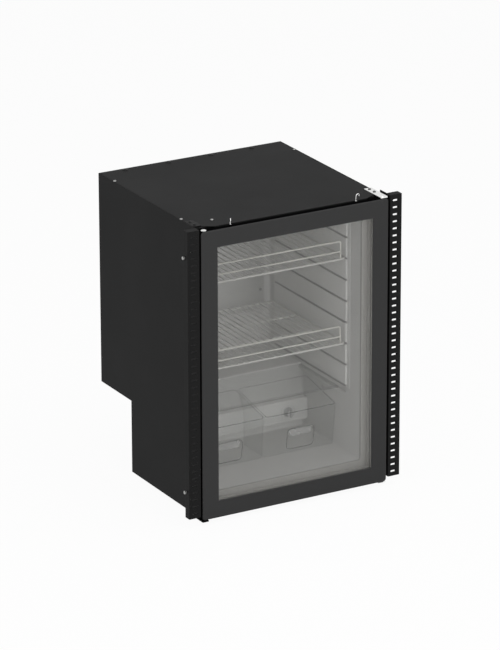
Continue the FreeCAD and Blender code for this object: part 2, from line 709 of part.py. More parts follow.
def cavity(name, start, grow):
    # Stepped inner space, grown outwards by a wall.
    outline = [(start, in_floor - grow), (hump + grow, in_floor - grow), (hump + grow, ledge - grow),
               (in_rear + grow, ledge - grow), (in_rear + grow, in_top + grow), (start, in_top + grow)]
    return prism(name, "yz", outline, *span(in_half + grow))


evaporator_half = dim.evaporator_width / 2
evaporator_y = (in_rear - dim.evaporator_gap - dim.evaporator_sheet, in_rear - dim.evaporator_gap)
evaporator_z = (ledge + dim.evaporator_low, in_top - dim.evaporator_top)
evaporator_screw_length = dim.evaporator_sheet + dim.evaporator_gap + dim.liner_wall
evaporator_seats = [((evaporator_half - dim.evaporator_edge) * sign, evaporator_y[0], z) for _, sign in SIDES
                    for z in (evaporator_z[0] + dim.evaporator_end, evaporator_z[1] - dim.evaporator_end)]
evaporator_screws = node("evaporator_screws", group(
    [screw("y", seat, -1, evaporator_screw_length) for seat in evaporator_seats]))
node("evaporator_plate", cut(block(span(evaporator_half), evaporator_y, evaporator_z), [evaporator_screws]))

node("liner", cut(cavity("liner_outside", frame_rear, dim.liner_wall),
                  [cavity("liner_inside", case_front, zero), evaporator_screws]))
foam = [(frame_rear, case_low + dim.plate), (step_y - dim.plate, case_low + dim.plate),
        (step_y - dim.plate, step_z + dim.plate), (rear - dim.plate, step_z + dim.plate),
        (rear - dim.plate, case_high - dim.plate), (frame_rear, case_high - dim.plate)]
node("insulation", cut(prism("foam", "yz", foam, *span(half_core)), [
    cavity("foam_hollow", frame_rear, dim.liner_wall), top_screws, black_screws, hinge_screws, strip_screws,
    suction_pipe, upper_line]))

# Hooks at the front edge of the top, each a bent wire on a rivet
hooks = []
for name, sign in SIDES:
    inset, turn, share = HOOKS[name]
    x = (half_door - inset) * sign
    y = top_front - dim.rivet_length / 2
    z = case_high - dim.rivet_radius - dim.play
    rivet = rod("y", (x, top_front - dim.rivet_length, z), dim.rivet_radius, dim.rivet_length)
    bend = z + dim.hook_height * share
    turn = math.radians(turn)
    tip = (x + dim.hook_reach * math.cos(turn), y + dim.hook_reach * math.sin(turn))
    wire = bent_pipe("hook", [
        (x - dim.hook_curl / 2, y, z), (x, y, bend), (*tip, bend + dim.hook_curl * 2),
        (*tip, bend - dim.hook_curl)], dim.hook_wire, dim.hook_curl)
    hooks.append(fuse([rivet, wire]))
node("top_hooks", group(hooks))

# Feet
feet = []
for _, sign in SIDES:
    for y in (front + dim.foot_front, step_y - dim.foot_rear):
        foot = doc.addObject("Part::Cone", "foot")
        foot.setExpression("Radius1", dim.foot_tread.text)
        foot.setExpression("Radius2", dim.foot_radius.text)
        foot.setExpression("Height", dim.foot_height.text)
        put(foot, ((half_case - dim.foot_side) * sign, y, zero))
        feet.append(foot)
node("feet", group(feet))

# Hinges on the right, blanking plate and bracket on the left
axis_x = half_door - dim.axis_inset
axis_y = front + dim.axis_back
top_pin = rod("z", (axis_x, axis_y, door_high - dim.pin_reach), dim.pin_radius,
              hinge_top + dim.screw_rise / 2 - door_high + dim.pin_reach)
low_pin = rod("z", (axis_x, axis_y, hinge_low), dim.pin_radius, door_low + dim.pin_reach - hinge_low)
hinge_pins = node("hinge_pins", group([top_pin, low_pin]))
hinge_x = (half_door - dim.hinge_width, half_door)
hinge_y = (front + dim.hinge_front, front + dim.hinge_rear)


def upright(edge):
    return abs(edge.tangentAt(edge.FirstParameter).z) > 0.99


def low_plate(x, y):
    # Plate under the door, with a packing that carries it under the casing.
    tongue = round_edges(block(x, y, (hinge_low, hinge_rest)), upright, dim.hinge_plate)
    return fuse([tongue, block(x, (case_front, y[1] - dim.hinge_plate), (hinge_rest, case_low))])


plate = round_edges(block(hinge_x, hinge_y, (case_high, hinge_top)), upright, dim.hinge_plate)
node("hinge_plate_top", cut(plate, [hinge_pins, hinge_screws]))
node("hinge_plate_bottom", cut(low_plate(hinge_x, hinge_y), [hinge_pins, hinge_screws]))
cover = block((-half_case, -half_case + dim.hinge_width), (notch_rear, hinge_y[1]), (case_high, hinge_top))
node("hinge_cover_left", cut(round_edges(cover, upright, dim.hinge_plate), [black_screws]))
bracket = low_plate((-half_door, -half_door + dim.bracket_width), (front + dim.strip_set, bracket_rear))
node("corner_bracket_left", cut(bracket, [black_screws]))

# Door
open_half = half_door - dim.door_border
open_z = inward((door_low, door_high), dim.door_border)
pane_half = open_half + dim.pane_lap
pane_z = inward(open_z, -dim.pane_lap)
pan_half = half_door - dim.door_skin
pan_z = inward((door_low, door_high), dim.door_skin)
pan_rear = front + dim.door_pan


def around_front(edge):
    return edge.BoundBox.YMax < front.value + 0.001


def along_depth(edge):
    return abs(edge.tangentAt(edge.FirstParameter).y) > 0.99


bush_hole = [rod("z", (axis_x * sign, axis_y, door_high - dim.bush_depth), dim.bush_radius, dim.bush_depth)
             for _, sign in SIDES]
bush_hole.append(rod("z", (axis_x, axis_y, door_low), dim.bush_radius, dim.bush_depth))
slab = block(span(half_door), (front, pan_rear), (door_low, door_high))
slab = round_edges(round_edges(slab, along_depth, dim.door_corner), around_front, dim.door_edge)
node("door_frame", cut(slab, [block(span(pan_half), (border_back, pan_rear), pan_z),
                              block(span(open_half), (front, border_back), open_z)] + bush_hole))
node("glazing_bead", ring(span(open_half), (front + dim.bead_sink, border_back), open_z,
                          span(open_half - dim.bead_width), inward(open_z, dim.bead_width)))
node("pane_outer", block(span(pane_half), (border_back, pane_one_back), pane_z))
node("pane_spacer", ring(span(pane_half), (pane_one_back, gap_back), pane_z,
                         span(pane_half - dim.spacer_width), inward(pane_z, dim.spacer_width)))
node("pane_inner", block(span(pane_half), (gap_back, pane_two_back), pane_z))
back_half = pan_half - dim.play
back_z = inward(pan_z, dim.play)
node("door_backing", cut(block(span(back_half), (border_back, backing_rear), back_z), [
    block(span(pane_half), (border_back, pane_two_back), pane_z),
    block(span(pane_half - dim.clamp_lap), (pane_two_back, backing_rear), inward(pane_z, dim.clamp_lap))]
    + bush_hole))


def gasket_layer(y, shrink):
    half = half_door - dim.gasket_inset - shrink
    z = inward((door_low, door_high), dim.gasket_inset + shrink)
    width = dim.gasket_width - shrink * 2
    return ring(span(half), y, z, span(half - width), inward(z, width))


node("door_gasket", fuse([
    gasket_layer((backing_rear, backing_rear + dim.gasket_base), zero),
    gasket_layer((backing_rear + dim.gasket_base, gasket_rear - dim.gasket_head), dim.gasket_waist),
    gasket_layer((gasket_rear - dim.gasket_head, gasket_rear), zero)]))

flange = rod("z", (axis_x, axis_y, hinge_rest + dim.play), dim.bush_radius * 1.4, dim.hinge_gap - dim.play)
bore = dim.pin_radius + dim.pin_clearance
bores = [rod("z", (axis_x, axis_y, door_high - dim.bush_depth), bore, dim.bush_depth),
         rod("z", (axis_x, axis_y, hinge_rest), bore, dim.bush_depth + dim.hinge_gap)]
node("hinge_bushes", group([cut(bush_hole[1], [bores[0]]), cut(fuse([bush_hole[2], flange]), [bores[1]])]))
plug_head = rod("z", (-axis_x, axis_y, door_high), dim.plug_radius, dim.plug_rise)
node("hinge_hole_plug", fuse([bush_hole[0], plug_head]))

# Shelf supports with grooves, and the ledge under the crisper cover
rail_front = case_front + dim.rail_setback
rail_y = (rail_front, in_rear - dim.rail_rear)
cover_z = ledge - dim.cover_drop
web_low = cover_z - dim.cover_rail_height
grooves = [ledge + dim.groove_first + dim.groove_pitch * i for i in range(GROOVE_COUNT)]
for name, sign in SIDES:
    plate_x = on_side(sign, in_half - dim.rail, in_half)
    groove_x = on_side(sign, in_half - dim.rail, in_half - dim.rail + dim.groove_depth)
    solid = fuse([
        block(plate_x, rail_y, (ledge + dim.rail_end, in_top - dim.rail_end)),
        block(plate_x, (rail_front, hump - dim.play), (web_low, ledge + dim.rail_end)),
        block(on_side(sign, in_half - dim.cover_rail, in_half - dim.rail),
              (front + dim.cover_front, hump - dim.play), (web_low, cover_z))])
    node("shelf_support_" + name, cut(solid, [
        block(groove_x, rail_y, (z - dim.groove_height / 2, z + dim.groove_height / 2)) for z in grooves]))

# Wire shelves: rod frame riding in the grooves, deck wires, three-wire front rail
rod_x = in_half - dim.rail + dim.groove_depth - dim.play - dim.shelf_rod
shelf_y = (rail_front + dim.shelf_rod, in_rear - dim.shelf_rear)
shelf_depth = shelf_y[1] - shelf_y[0]
rail_half = in_half - dim.shelf_in
deck_half = rod_x - dim.shelf_rod * 2
deck_count = int(2 * deck_half.value / dim.shelf_pitch.value) + 1
for name, index in SHELF_GROOVES.items():
    z = grooves[index]
    deck_z = z + dim.shelf_rod + dim.shelf_wire - dim.shelf_weld
    bars = [rod("y", (rod_x * sign, shelf_y[0], z), dim.shelf_rod, shelf_depth) for _, sign in SIDES]
    bars += [rod("x", (-rod_x, shelf_y[0] + shelf_depth * i / 3, z), dim.shelf_rod, rod_x * 2)
             for i in range(4)]
    bars += [rod("y", (dim.shelf_pitch * (i - (deck_count - 1) / 2), shelf_y[0] - dim.shelf_rod, deck_z),
                 dim.shelf_wire, shelf_depth + dim.shelf_rod * 2) for i in range(deck_count)]
    deck = node("wire_shelf_" + name, fuse(bars))
    rails = [rod("x", (-rail_half, shelf_y[0], z + dim.shelf_rail * share), dim.shelf_post, rail_half * 2)
             for share in RAIL_SHARES]
    rails += [rod("z", (rail_half * sign, shelf_y[0], z), dim.shelf_post, dim.shelf_rail + dim.shelf_post)
              for _, sign in SIDES]
    node("shelf_rail_" + name, cut(fuse(rails), [deck]))

# Crisper cover and crispers
cover_y = (front + dim.cover_front, hump - dim.play * 2)
node("crisper_cover", block(span(in_half - dim.rail - dim.play), cover_y,
                            (cover_z + dim.play, cover_z + dim.cover_thickness)))
crisper_y = (front + dim.crisper_front, hump - dim.crisper_rear)
crisper_z = (in_floor + dim.play, in_floor + dim.play + dim.crisper_height)
crisper_bend = in_floor + dim.panel_high + dim.crisper_over
crisper_top = (crisper_y[1] + dim.crisper_lean, cover_z + dim.play - dim.crisper_under)
crisper_mid = in_half / 2


def crisper_face(height):
    return crisper_y[0] + dim.crisper_rake * (as_size(1) - height / dim.crisper_height)


for name, sign in SIDES:
    outside = [(crisper_face(zero), crisper_z[0]), (crisper_y[1], crisper_z[0]), (crisper_y[1], crisper_bend),
               crisper_top, (crisper_y[0], crisper_z[1])]
    wall = dim.crisper_wall
    inside = [(crisper_face(wall) + wall, crisper_z[0] + wall), (crisper_y[1] - wall, crisper_z[0] + wall),
              (crisper_y[1] - wall, crisper_bend), (crisper_top[0] - wall, crisper_top[1]),
              (crisper_y[0] + wall, crisper_top[1]), (crisper_y[0] + wall, crisper_z[1])]
    tub = cut(prism("tub", "yz", outside, *on_side(sign, dim.crisper_gap, in_half - dim.crisper_gap)),
              [prism("tub_inside", "yz", inside,
                     *on_side(sign, dim.crisper_gap + wall, in_half - dim.crisper_gap - wall))])
    rims = []
    for rim in (zero, dim.grip_rim):
        low, high = dim.grip_low + rim, dim.grip_high - rim
        ends = [(crisper_face(height), crisper_z[0] + height) for height in (low, high)]
        outline = [(ends[0][0] - dim.grip_rise, ends[0][1]), *ends, (ends[1][0] - dim.grip_rise, ends[1][1])]
        half = dim.grip_width / 2 - rim
        rims.append(prism("grip", "yz", outline, *on_side(sign, crisper_mid - half, crisper_mid + half)))
    node("crisper_" + name, fuse([tub, cut(rims[0], [rims[1]])]))

# Control housing on the hump, open to the rear, with the thermostat and its knob
panel_y = (hump - dim.panel_depth, hump)
panel_x = span(in_half - dim.panel_side)
panel_z = (in_floor + dim.panel_low, in_floor + dim.panel_high)
face_rear = panel_y[0] + dim.panel_wall
knob_x = in_half - dim.knob_inset
knob_seat = (knob_x, panel_y[0], in_floor + dim.knob_height)
shaft_hole = pin_on("y", knob_seat, 1, zero, dim.panel_depth - dim.panel_wall,
                    dim.knob_shaft + dim.pin_clearance)
hollow = block(inward(panel_x, dim.panel_wall), (face_rear, panel_y[1]), inward(panel_z, dim.panel_wall))
switch = rod("y", (knob_x, face_rear - dim.panel_wall / 2, knob_seat[2]), dim.switch_radius,
             panel_y[1] - face_rear + dim.panel_wall / 2)
node("control_panel", cut(fuse([cut(block(panel_x, panel_y, panel_z), [hollow]), switch]), [shaft_hole]))
knob_face = panel_y[0] - dim.play - dim.knob_depth
knob = pin_on("y", knob_seat, -1, dim.play, dim.play + dim.knob_depth, dim.knob_radius)
shaft = pin_on("y", knob_seat, 1, -dim.play, dim.panel_wall * 4, dim.knob_shaft)
rib_half = dim.knob_rib / 2
rib_reach = dim.knob_radius - dim.play
rib = block((knob_x - rib_half, knob_x + rib_half),
            (knob_face - dim.knob_rib_rise, knob_face), (knob_seat[2] - rib_reach, knob_seat[2] + rib_reach))
node("thermostat_knob", fuse([knob, shaft, rib]))

# Compressor on its tray
foot_places = [(shell_x + dim.foot_span_x / 2 * i, shell_y + dim.foot_span_y / 2 * j)
               for i in (-1, 1) for j in (-1, 1)]
foot_z = (tray_top + dim.grommet_height, shell_low)
studs = []
for x, y in foot_places:
    stem = rod("z", (x, y, case_low), dim.stud_radius, shell_low + dim.stud_proud - case_low)
    studs.append(fuse([stem, hex_head("z", (x, y, shell_low), dim.stud_radius * 2, dim.stud_proud / 2)]))
compressor_bolts = node("compressor_bolts", group(studs))
node("compressor_grommets", group([
    cut(rod("z", (x, y, tray_top), dim.grommet_radius, dim.grommet_height), [stud])
    for (x, y), stud in zip(foot_places, studs)]))
tray_x = (-dim.tray_left, dim.tray_right)
tray = fuse([block(tray_x, (step_y, rear - dim.tray_rear), (case_low, tray_top)),
             block(tray_x, (step_y, step_y + dim.tray_plate), (tray_top, tray_top + dim.tray_lip))])
node("compressor_tray", cut(tray, [compressor_bolts]))

reach_x = dim.foot_span_x / 2 + dim.grommet_radius
reach_y = dim.foot_span_y / 2 + dim.grommet_radius
foot = block((shell_x - reach_x, shell_x + reach_x), (shell_y - reach_y, shell_y + reach_y), foot_z)
dome = round_edges(rod("z", (shell_x, shell_y, shell_low), dim.shell_radius, dim.shell_height),
                   lambda edge: edge.isClosed(), dim.shell_dome)
seam_z = shell_low + dim.shell_height / 2
weld = rod("z", (shell_x, shell_y, seam_z), dim.shell_radius + dim.shell_seam, dim.shell_seam * 2)
terminal = block((shell_x - dim.box_depth / 2, shell_x + dim.box_depth / 2),
                 (shell_y, shell_y + dim.shell_radius + dim.shell_seam * 3),
                 (seam_z + dim.shell_seam * 2, seam_z + dim.shell_dome))
discharge_z = shell_high + dim.pipe_bend
discharge_x = shell_x - dim.pipe_bend * 1.5
discharge_room = (discharge_z - coil_rows[-1]) / 2 - dim.play
discharge_bend = min(dim.pipe_bend, discharge_room, key=lambda size: size.value)
turn_x = drier_x + dim.drier_radius
discharge_pipe = node("discharge_pipe", bent_pipe("discharge", [
    (discharge_x, shell_y, shell_high - stub), (discharge_x, shell_y, discharge_z),
    (turn_x, shell_y, discharge_z), (turn_x, coil_columns[1], discharge_z),
    (turn_x, coil_columns[1], coil_rows[-1]), (coil_x[1], coil_columns[1], coil_rows[-1])],
    dim.pipe_radius, discharge_bend))
node("compressor", cut(fuse([foot, dome, weld, terminal]), [compressor_bolts, suction_pipe, discharge_pipe]))
node("control_box", block((dim.box_left, dim.box_left + dim.box_width), (step_y, step_y + dim.box_depth),
                          (tray_top + dim.box_lift, tray_top + dim.box_lift + dim.box_height)))
node("filter_drier", rod("z", (drier_x, coil_columns[0], drier_z[0]), dim.drier_radius, dim.drier_length))

# Condenser: tubes through fins, carried by its two end plates
fin_count = int(dim.condenser_width.value / dim.fin_pitch.value)
fins = [block((coil_x[0] + dim.fin_pitch * i, coil_x[0] + dim.fin_pitch * i + dim.fin), coil_y, coil_z)
        for i in range(1, fin_count)]
ends = [block(x, coil_y, (tray_top, coil_z[1])) for x in
        ((coil_x[0], coil_x[0] + dim.fin * 2), (coil_x[1] - dim.fin * 2, coil_x[1]))]
tubes = [rod("x", (coil_x[0], y, z), dim.coil_radius, dim.condenser_width)
         for y in coil_columns for z in coil_rows]
node("condenser", fuse(fins + ends + tubes))

# Fan behind the condenser
fan_x = (coil_x[0] + coil_x[1]) / 2
fan_z = (coil_z[0] + coil_z[1]) / 2
fan_y = (coil_y[1], coil_y[1] + dim.fan_depth)
motor_y = fan_y[1] - dim.motor_depth
duct = cut(block(coil_x, fan_y, coil_z), [rod("y", (fan_x, fan_y[0], fan_z), dim.fan_radius, dim.fan_depth)])
spoke_sizes = (dim.fan_radius + dim.fan_tip / 2, dim.spoke / 2)
spokes = [block((fan_x - a, fan_x + a), (motor_y, fan_y[1]), (fan_z - b, fan_z + b))
          for a, b in (spoke_sizes, spoke_sizes[::-1])]
motor = rod("y", (fan_x, motor_y, fan_z), dim.fan_hub, dim.motor_depth)
rotor_y = (fan_y[0] + dim.fan_set, fan_y[0] + dim.fan_set + dim.fan_blade_depth)
axle = rod("y", (fan_x, rotor_y[0] + dim.fan_set, fan_z), dim.fan_shaft, motor_y - rotor_y[0] - dim.fan_set)
node("fan_shroud", fuse([duct, motor, axle] + spokes))


def fan_shape():
    # Hub with a blind shaft bore and pitched blades, all about the fan's axis.
    middle = FreeCAD.Vector(fan_x.value, rotor_y[0].value, fan_z.value)
    along = FreeCAD.Vector(0, 1, 0)
    depth, hub = dim.fan_blade_depth.value, dim.fan_hub.value
    angle = math.radians(dim.fan_angle.value)
    chord = (depth - dim.fan_blade.value * math.cos(angle)) / math.sin(angle)
    root = hub - dim.fan_blade.value
    length = dim.fan_radius.value - dim.fan_tip.value - root
    blade = Part.makeBox(length, chord, dim.fan_blade.value,
                         FreeCAD.Vector(root, -chord / 2, -dim.fan_blade.value / 2))
    blade.rotate(FreeCAD.Vector(), FreeCAD.Vector(1, 0, 0), 90 - dim.fan_angle.value)
    blade.translate(middle + along * (depth / 2))
    shape = Part.makeCylinder(hub, depth, middle, along)
    for i in range(FAN_BLADES):
        turned = blade.copy()
        turned.rotate(middle, along, 360 / FAN_BLADES * i)
        shape = shape.fuse(turned)
    seat = middle + along * dim.fan_set.value
    bore = Part.makeCylinder(dim.fan_shaft.value + dim.pin_clearance.value, depth, seat, along)
    return shape.cut(bore).removeSplitter()


rotor = doc.addObject("Part::Feature", "fan_rotor")
rotor.Shape = fan_shape()
node("fan_rotor", rotor)

# Cable inlet in the lower rear panel
inlet_seat = (-half_case + dim.inlet_inset, step_y, case_low + dim.inlet_height)
inlet = fuse([pin_on("y", inlet_seat, 1, zero, dim.inlet_flange, dim.inlet_radius),
              pin_on("y", inlet_seat, 1, zero, dim.inlet_length, dim.inlet_boss)])
node("cable_inlet", cut(inlet, [pin_on("y", inlet_seat, 1, zero, dim.inlet_length, dim.inlet_bore)]))

# Build, check and write every piece
doc.recompute()
faults = [o.Label for o in doc.Objects if {"Invalid", "Error"} & set(o.State)]
faults += [n.Label for n in nodes if n.Shape.isNull() or not n.Shape.isValid() or not n.Shape.Solids]
if faults:
    raise RuntimeError("pieces that failed: " + ", ".join(faults))
os.makedirs("parts", exist_ok=True)
for piece in nodes:
    piece.Shape.exportStep(f"parts/{piece.Label}.step")
print(len(nodes), "pieces,", sum(len(n.Shape.Solids) for n in nodes), "solids")
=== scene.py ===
import json
import math
import bmesh
import bpy
from mathutils import Matrix, Vector


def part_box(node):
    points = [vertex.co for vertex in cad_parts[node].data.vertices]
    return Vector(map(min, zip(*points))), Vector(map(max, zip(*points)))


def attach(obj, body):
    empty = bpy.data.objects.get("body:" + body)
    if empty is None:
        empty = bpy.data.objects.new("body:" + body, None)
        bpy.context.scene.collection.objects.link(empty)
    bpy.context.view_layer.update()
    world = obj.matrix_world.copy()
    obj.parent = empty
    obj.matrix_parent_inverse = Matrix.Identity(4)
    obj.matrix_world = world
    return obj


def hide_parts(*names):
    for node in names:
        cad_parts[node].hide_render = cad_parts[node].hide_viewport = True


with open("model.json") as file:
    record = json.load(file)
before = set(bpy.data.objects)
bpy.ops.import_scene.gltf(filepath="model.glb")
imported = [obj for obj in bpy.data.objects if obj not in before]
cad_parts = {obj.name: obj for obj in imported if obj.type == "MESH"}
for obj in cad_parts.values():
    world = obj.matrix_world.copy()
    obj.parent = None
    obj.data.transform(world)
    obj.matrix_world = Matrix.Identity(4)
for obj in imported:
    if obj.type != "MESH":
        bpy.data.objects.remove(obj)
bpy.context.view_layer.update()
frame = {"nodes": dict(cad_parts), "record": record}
nodes = frame["nodes"]
bodyOf = {n: body for body, members in frame["record"]["behaviour"]["bodies"].items() for n in members}
print("frame loaded:", len(nodes), "nodes")


class Wire:
    # A shader socket that takes part in plain arithmetic
    def __init__(self, tree, socket):
        self.tree = tree
        self.socket = socket

    def calc(self, operation, first, second):
        node = self.tree.nodes.new("ShaderNodeMath")
        node.operation = operation
        for target, value in zip(node.inputs, (first, second)):
            if isinstance(value, Wire):
                self.tree.links.new(value.socket, target)
            else:
                target.default_value = value
        return Wire(self.tree, node.outputs[0])

    def __add__(self, other):
        return self.calc("ADD", self, other)

    def __radd__(self, other):
        return self.calc("ADD", other, self)

    def __mul__(self, other):
        return self.calc("MULTIPLY", self, other)

    def __rmul__(self, other):
        return self.calc("MULTIPLY", other, self)

    def __pow__(self, other):
        return self.calc("POWER", self, other)

    def __abs__(self):
        return self.calc("ABSOLUTE", self, 0)

    def __gt__(self, other):
        return self.calc("GREATER_THAN", self, other)


class Finish:
    # One material and the nodes in it
    def __init__(self, name):
        self.material = bpy.data.materials.new(name)
        self.material.use_nodes = True
        self.tree = self.material.node_tree
        self.tree.nodes.clear()
        self.output = self.tree.nodes.new("ShaderNodeOutputMaterial")

    def add(self, kind, settings=None, sockets=None, out=0):
        node = self.tree.nodes.new(kind)
        for key, value in (settings or {}).items():
            setattr(node, key, value)
        for key, value in (sockets or {}).items():
            if isinstance(value, Wire):
                self.tree.links.new(value.socket, node.inputs[key])
            else:
                node.inputs[key].default_value = value
        return Wire(self.tree, node.outputs[out])

    def objectPlace(self, scale=(1, 1, 1)):
        place = self.add("ShaderNodeTexCoord", out="Object")
        if scale == (1, 1, 1):
            return place
        return self.add("ShaderNodeMapping", None, {"Vector": place, "Scale": scale})

    def noise(self, scale, detail=2, rough=0.5, stretch=(1, 1, 1)):
        return self.add("ShaderNodeTexNoise", None, {"Vector": self.objectPlace(stretch), "Scale": scale,
                                                     "Detail": detail, "Roughness": rough})

    def mixColour(self, factor, first, second):
        return self.add("ShaderNodeMix", {"data_type": "RGBA"},
                        {0: factor, 6: (*first, 1) if isinstance(first, tuple) else first,
                         7: (*second, 1) if isinstance(second, tuple) else second}, out=2)

    def facing(self, axis):
        # How far the surface looks along an axis of its piece
        normal = self.add("ShaderNodeTexCoord", out="Normal")
        return self.add("ShaderNodeSeparateXYZ", None, {0: normal}, out=axis)

    def softEdge(self, radius):
        return self.add("ShaderNodeBevel", {"samples": 4}, {"Radius": radius})

    def bump(self, height, strength, distance, normal=None):
        sockets = {"Height": height, "Strength": strength, "Distance": distance}
        if normal is not None:
            sockets["Normal"] = normal
        return self.add("ShaderNodeBump", None, sockets)

    def principled(self, sockets):
        return self.add("ShaderNodeBsdfPrincipled", None, sockets)

    def veiled(self, amount, clear, sheen):
        return self.surface(self.add("ShaderNodeMixShader", None, {0: amount, 1: clear, 2: sheen}))

    def surface(self, shader):
        self.tree.links.new(shader.socket, self.output.inputs["Surface"])
        return self.material


# Finishes

powderCoats = {
    "casingCoat": dict(
        colour=(0.0125, 0.0126, 0.0127), rough=0.52, grain=1400, lift=0.00004, edge=0.0008, gloss=0.05),
    "stripCoat": dict(
        colour=(0.0105, 0.0105, 0.0106), rough=0.60, grain=1600, lift=0.00004, edge=0.0007, gloss=0.08),
    "blackCoat": dict(
        colour=(0.0080, 0.0080, 0.0082), rough=0.50, grain=1500, lift=0.00003, edge=0.0006, gloss=0.10),
}


def paler(colour, factor):
    return tuple(c * factor for c in colour)


def around(value, swing, noise):
    return value - swing + noise * (2 * swing)


def grained(name, look, drift, detail, swing, bump, gloss=0.5):
    # Two shades drift over the surface, and a fine grain lifts it
    f = Finish(name)
    drift, grain = f.noise(*drift), f.noise(look["grain"], *detail)
    normal = f.bump(grain, bump, look["lift"], f.softEdge(look["edge"]))
    return f.surface(f.principled({
        "Base Color": f.mixColour(drift, look["shade"], look["colour"]), "Specular IOR Level": gloss,
        "Roughness": around(look["rough"], swing, drift), "Normal": normal}))


def powderCoat(name):
    look = powderCoats[name]
    shades = dict(look, shade=look["colour"], colour=paler(look["colour"], 1.16))
    return grained(name, shades, (7, 3), (2, 0.6), 0.06, 0.55, look["gloss"])


# side is a near-black painted on the door's edges as the shade in the gap round the door; turn is how far a
# face must look forward to keep the face paint
doorCoat = dict(
    face=(0.0365, 0.0365, 0.0367), side=(0.0022, 0.0022, 0.0023), rough=0.46, grain=1500, lift=0.00003,
    gloss=0.10, edge=0.0006, turn=0.35)


def doorPaint():
    # The flat face is painted; the edges behind it get a dull near-black that is painted shade, standing in
    # for the dark gap round the door
    f = Finish("doorPaint")
    drift = f.noise(6, 3)
    grain = f.noise(doorCoat["grain"], 2, 0.6)
    facing = f.facing("Y")
    face = f.mixColour(drift, doorCoat["face"], paler(doorCoat["face"], 1.1))
    edge = f.mixColour(drift, doorCoat["side"], paler(doorCoat["side"], 1.4))
    normal = f.bump(grain, 0.5, doorCoat["lift"], f.softEdge(doorCoat["edge"]))
    rough = around(doorCoat["rough"], 0.05, drift)
    paint = f.principled({"Base Color": face, "Roughness": rough, "Specular IOR Level": doorCoat["gloss"],
                          "Normal": normal})
    # Painted shade: near-black with no specular for every face that doesn't look forward
    black = f.principled({"Base Color": edge, "Roughness": rough + 0.2, "Specular IOR Level": 0.0,
                          "Normal": normal})
    return f.veiled((facing * -1) > doorCoat["turn"], black, paint)


moulded = {
    "linerPlastic": dict(
        colour=(0.77, 0.766, 0.752), shade=(0.74, 0.736, 0.722), rough=0.42, grain=900, lift=0.00005,
        edge=0.004),
    "framePlastic": dict(
        colour=(0.49, 0.482, 0.457), shade=(0.465, 0.457, 0.432), rough=0.48, grain=900, lift=0.00005,
        edge=0.001),
    "whitePlastic": dict(
        colour=(0.85, 0.85, 0.836), shade=(0.82, 0.82, 0.806), rough=0.38, grain=1100, lift=0.00003,
        edge=0.0008),
    "spacerCoat": dict(
        colour=(0.84, 0.83, 0.79), shade=(0.80, 0.79, 0.75), rough=0.55, grain=1400, lift=0.00003,
        edge=0.0004),
    "darkPlastic": dict(
        colour=(0.020, 0.020, 0.021), shade=(0.028, 0.028, 0.029), rough=0.55, grain=1200, lift=0.00006,
        edge=0.0008),
    "trimPlastic": dict(
        colour=(0.033, 0.033, 0.0332), shade=(0.030, 0.030, 0.0302), rough=0.55, grain=1200, lift=0.00003,
        edge=0.0004),
    "knobPlastic": dict(
        colour=(0.54, 0.54, 0.535), shade=(0.49, 0.49, 0.485), rough=0.42, grain=1300, lift=0.00004,
        edge=0.0006),
    "foamSkin": dict(
        colour=(0.72, 0.63, 0.40), shade=(0.62, 0.53, 0.33), rough=0.85, grain=500, lift=0.0002, edge=0.001),
}


def mouldedPlastic(name):
    return grained(name, moulded[name], (5, 3), (3, 0.6), 0.05, 0.5)


# groove is a darker colour painted into the grooves as shade; end is a lighter colour painted on the front
# ends as a highlight
supportLook = dict(
    colour=(0.85, 0.846, 0.83), shade=(0.82, 0.816, 0.80), groove=(0.50, 0.497, 0.485),
    end=(0.90, 0.896, 0.88), face=0.2005, depth=0.0012, rough=0.45, grain=900, lift=0.00004, edge=0.0012)


def supportPlastic():
    # Moulded racks; the grooves get a darker colour as painted shade, and the front ends a lighter one as a
    # painted highlight
    look = supportLook
    f = Finish("supportPlastic")
    drift, grain = f.noise(5, 3), f.noise(look["grain"], 3, 0.6)
    across = f.add("ShaderNodeSeparateXYZ", None, {0: f.objectPlace()}, out="X")
    facing = f.facing("Y")
    # Painted shade: surfaces sunk past the rack's face, except those that look forward
    deep = (abs(across) > look["face"] + look["depth"]) * (facing > -0.5)
    plain = f.mixColour(drift, look["shade"], look["colour"])
    # Painted highlight: faces that look forward get the lighter end colour
    highlightedEnds = f.mixColour((facing * -1) > 0.5, plain, look["end"])
    return f.surface(f.principled({
        "Base Color": f.mixColour(deep, highlightedEnds, look["groove"]),
        "Roughness": around(look["rough"], 0.05, drift),
        "Normal": f.bump(grain, 0.5, look["lift"], f.softEdge(look["edge"]))}))


metals = {
    "zincSteel": dict(
        colour=(0.46, 0.46, 0.45), dull=(0.30, 0.30, 0.295), rough=0.40, brush=(1, 1, 1), edge=0.0005),
    "hookSteel": dict(
        colour=(0.92, 0.92, 0.91), dull=(0.84, 0.84, 0.83), rough=0.55, brush=(1, 1, 1), edge=0.0004),
    "satinSteel": dict(
        colour=(0.97, 0.97, 0.96), dull=(0.92, 0.92, 0.91), rough=0.20, brush=(1, 40, 1), edge=0.0005),
    "greySteel": dict(
        colour=(0.13, 0.13, 0.128), dull=(0.08, 0.08, 0.08), rough=0.45, brush=(1, 1, 1), edge=0.0005),
    "blackZinc": dict(
        colour=(0.035, 0.035, 0.036), dull=(0.022, 0.022, 0.022), rough=0.42, brush=(1, 1, 1), edge=0.0005),
    "plateAluminium": dict(
        colour=(0.76, 0.76, 0.75), dull=(0.66, 0.66, 0.65), rough=0.40, brush=(1, 1, 12), edge=0.0005),
    "drawnCopper": dict(
        colour=(0.80, 0.40, 0.26), dull=(0.50, 0.23, 0.14), rough=0.30, brush=(1, 1, 1), edge=0.0004),
}


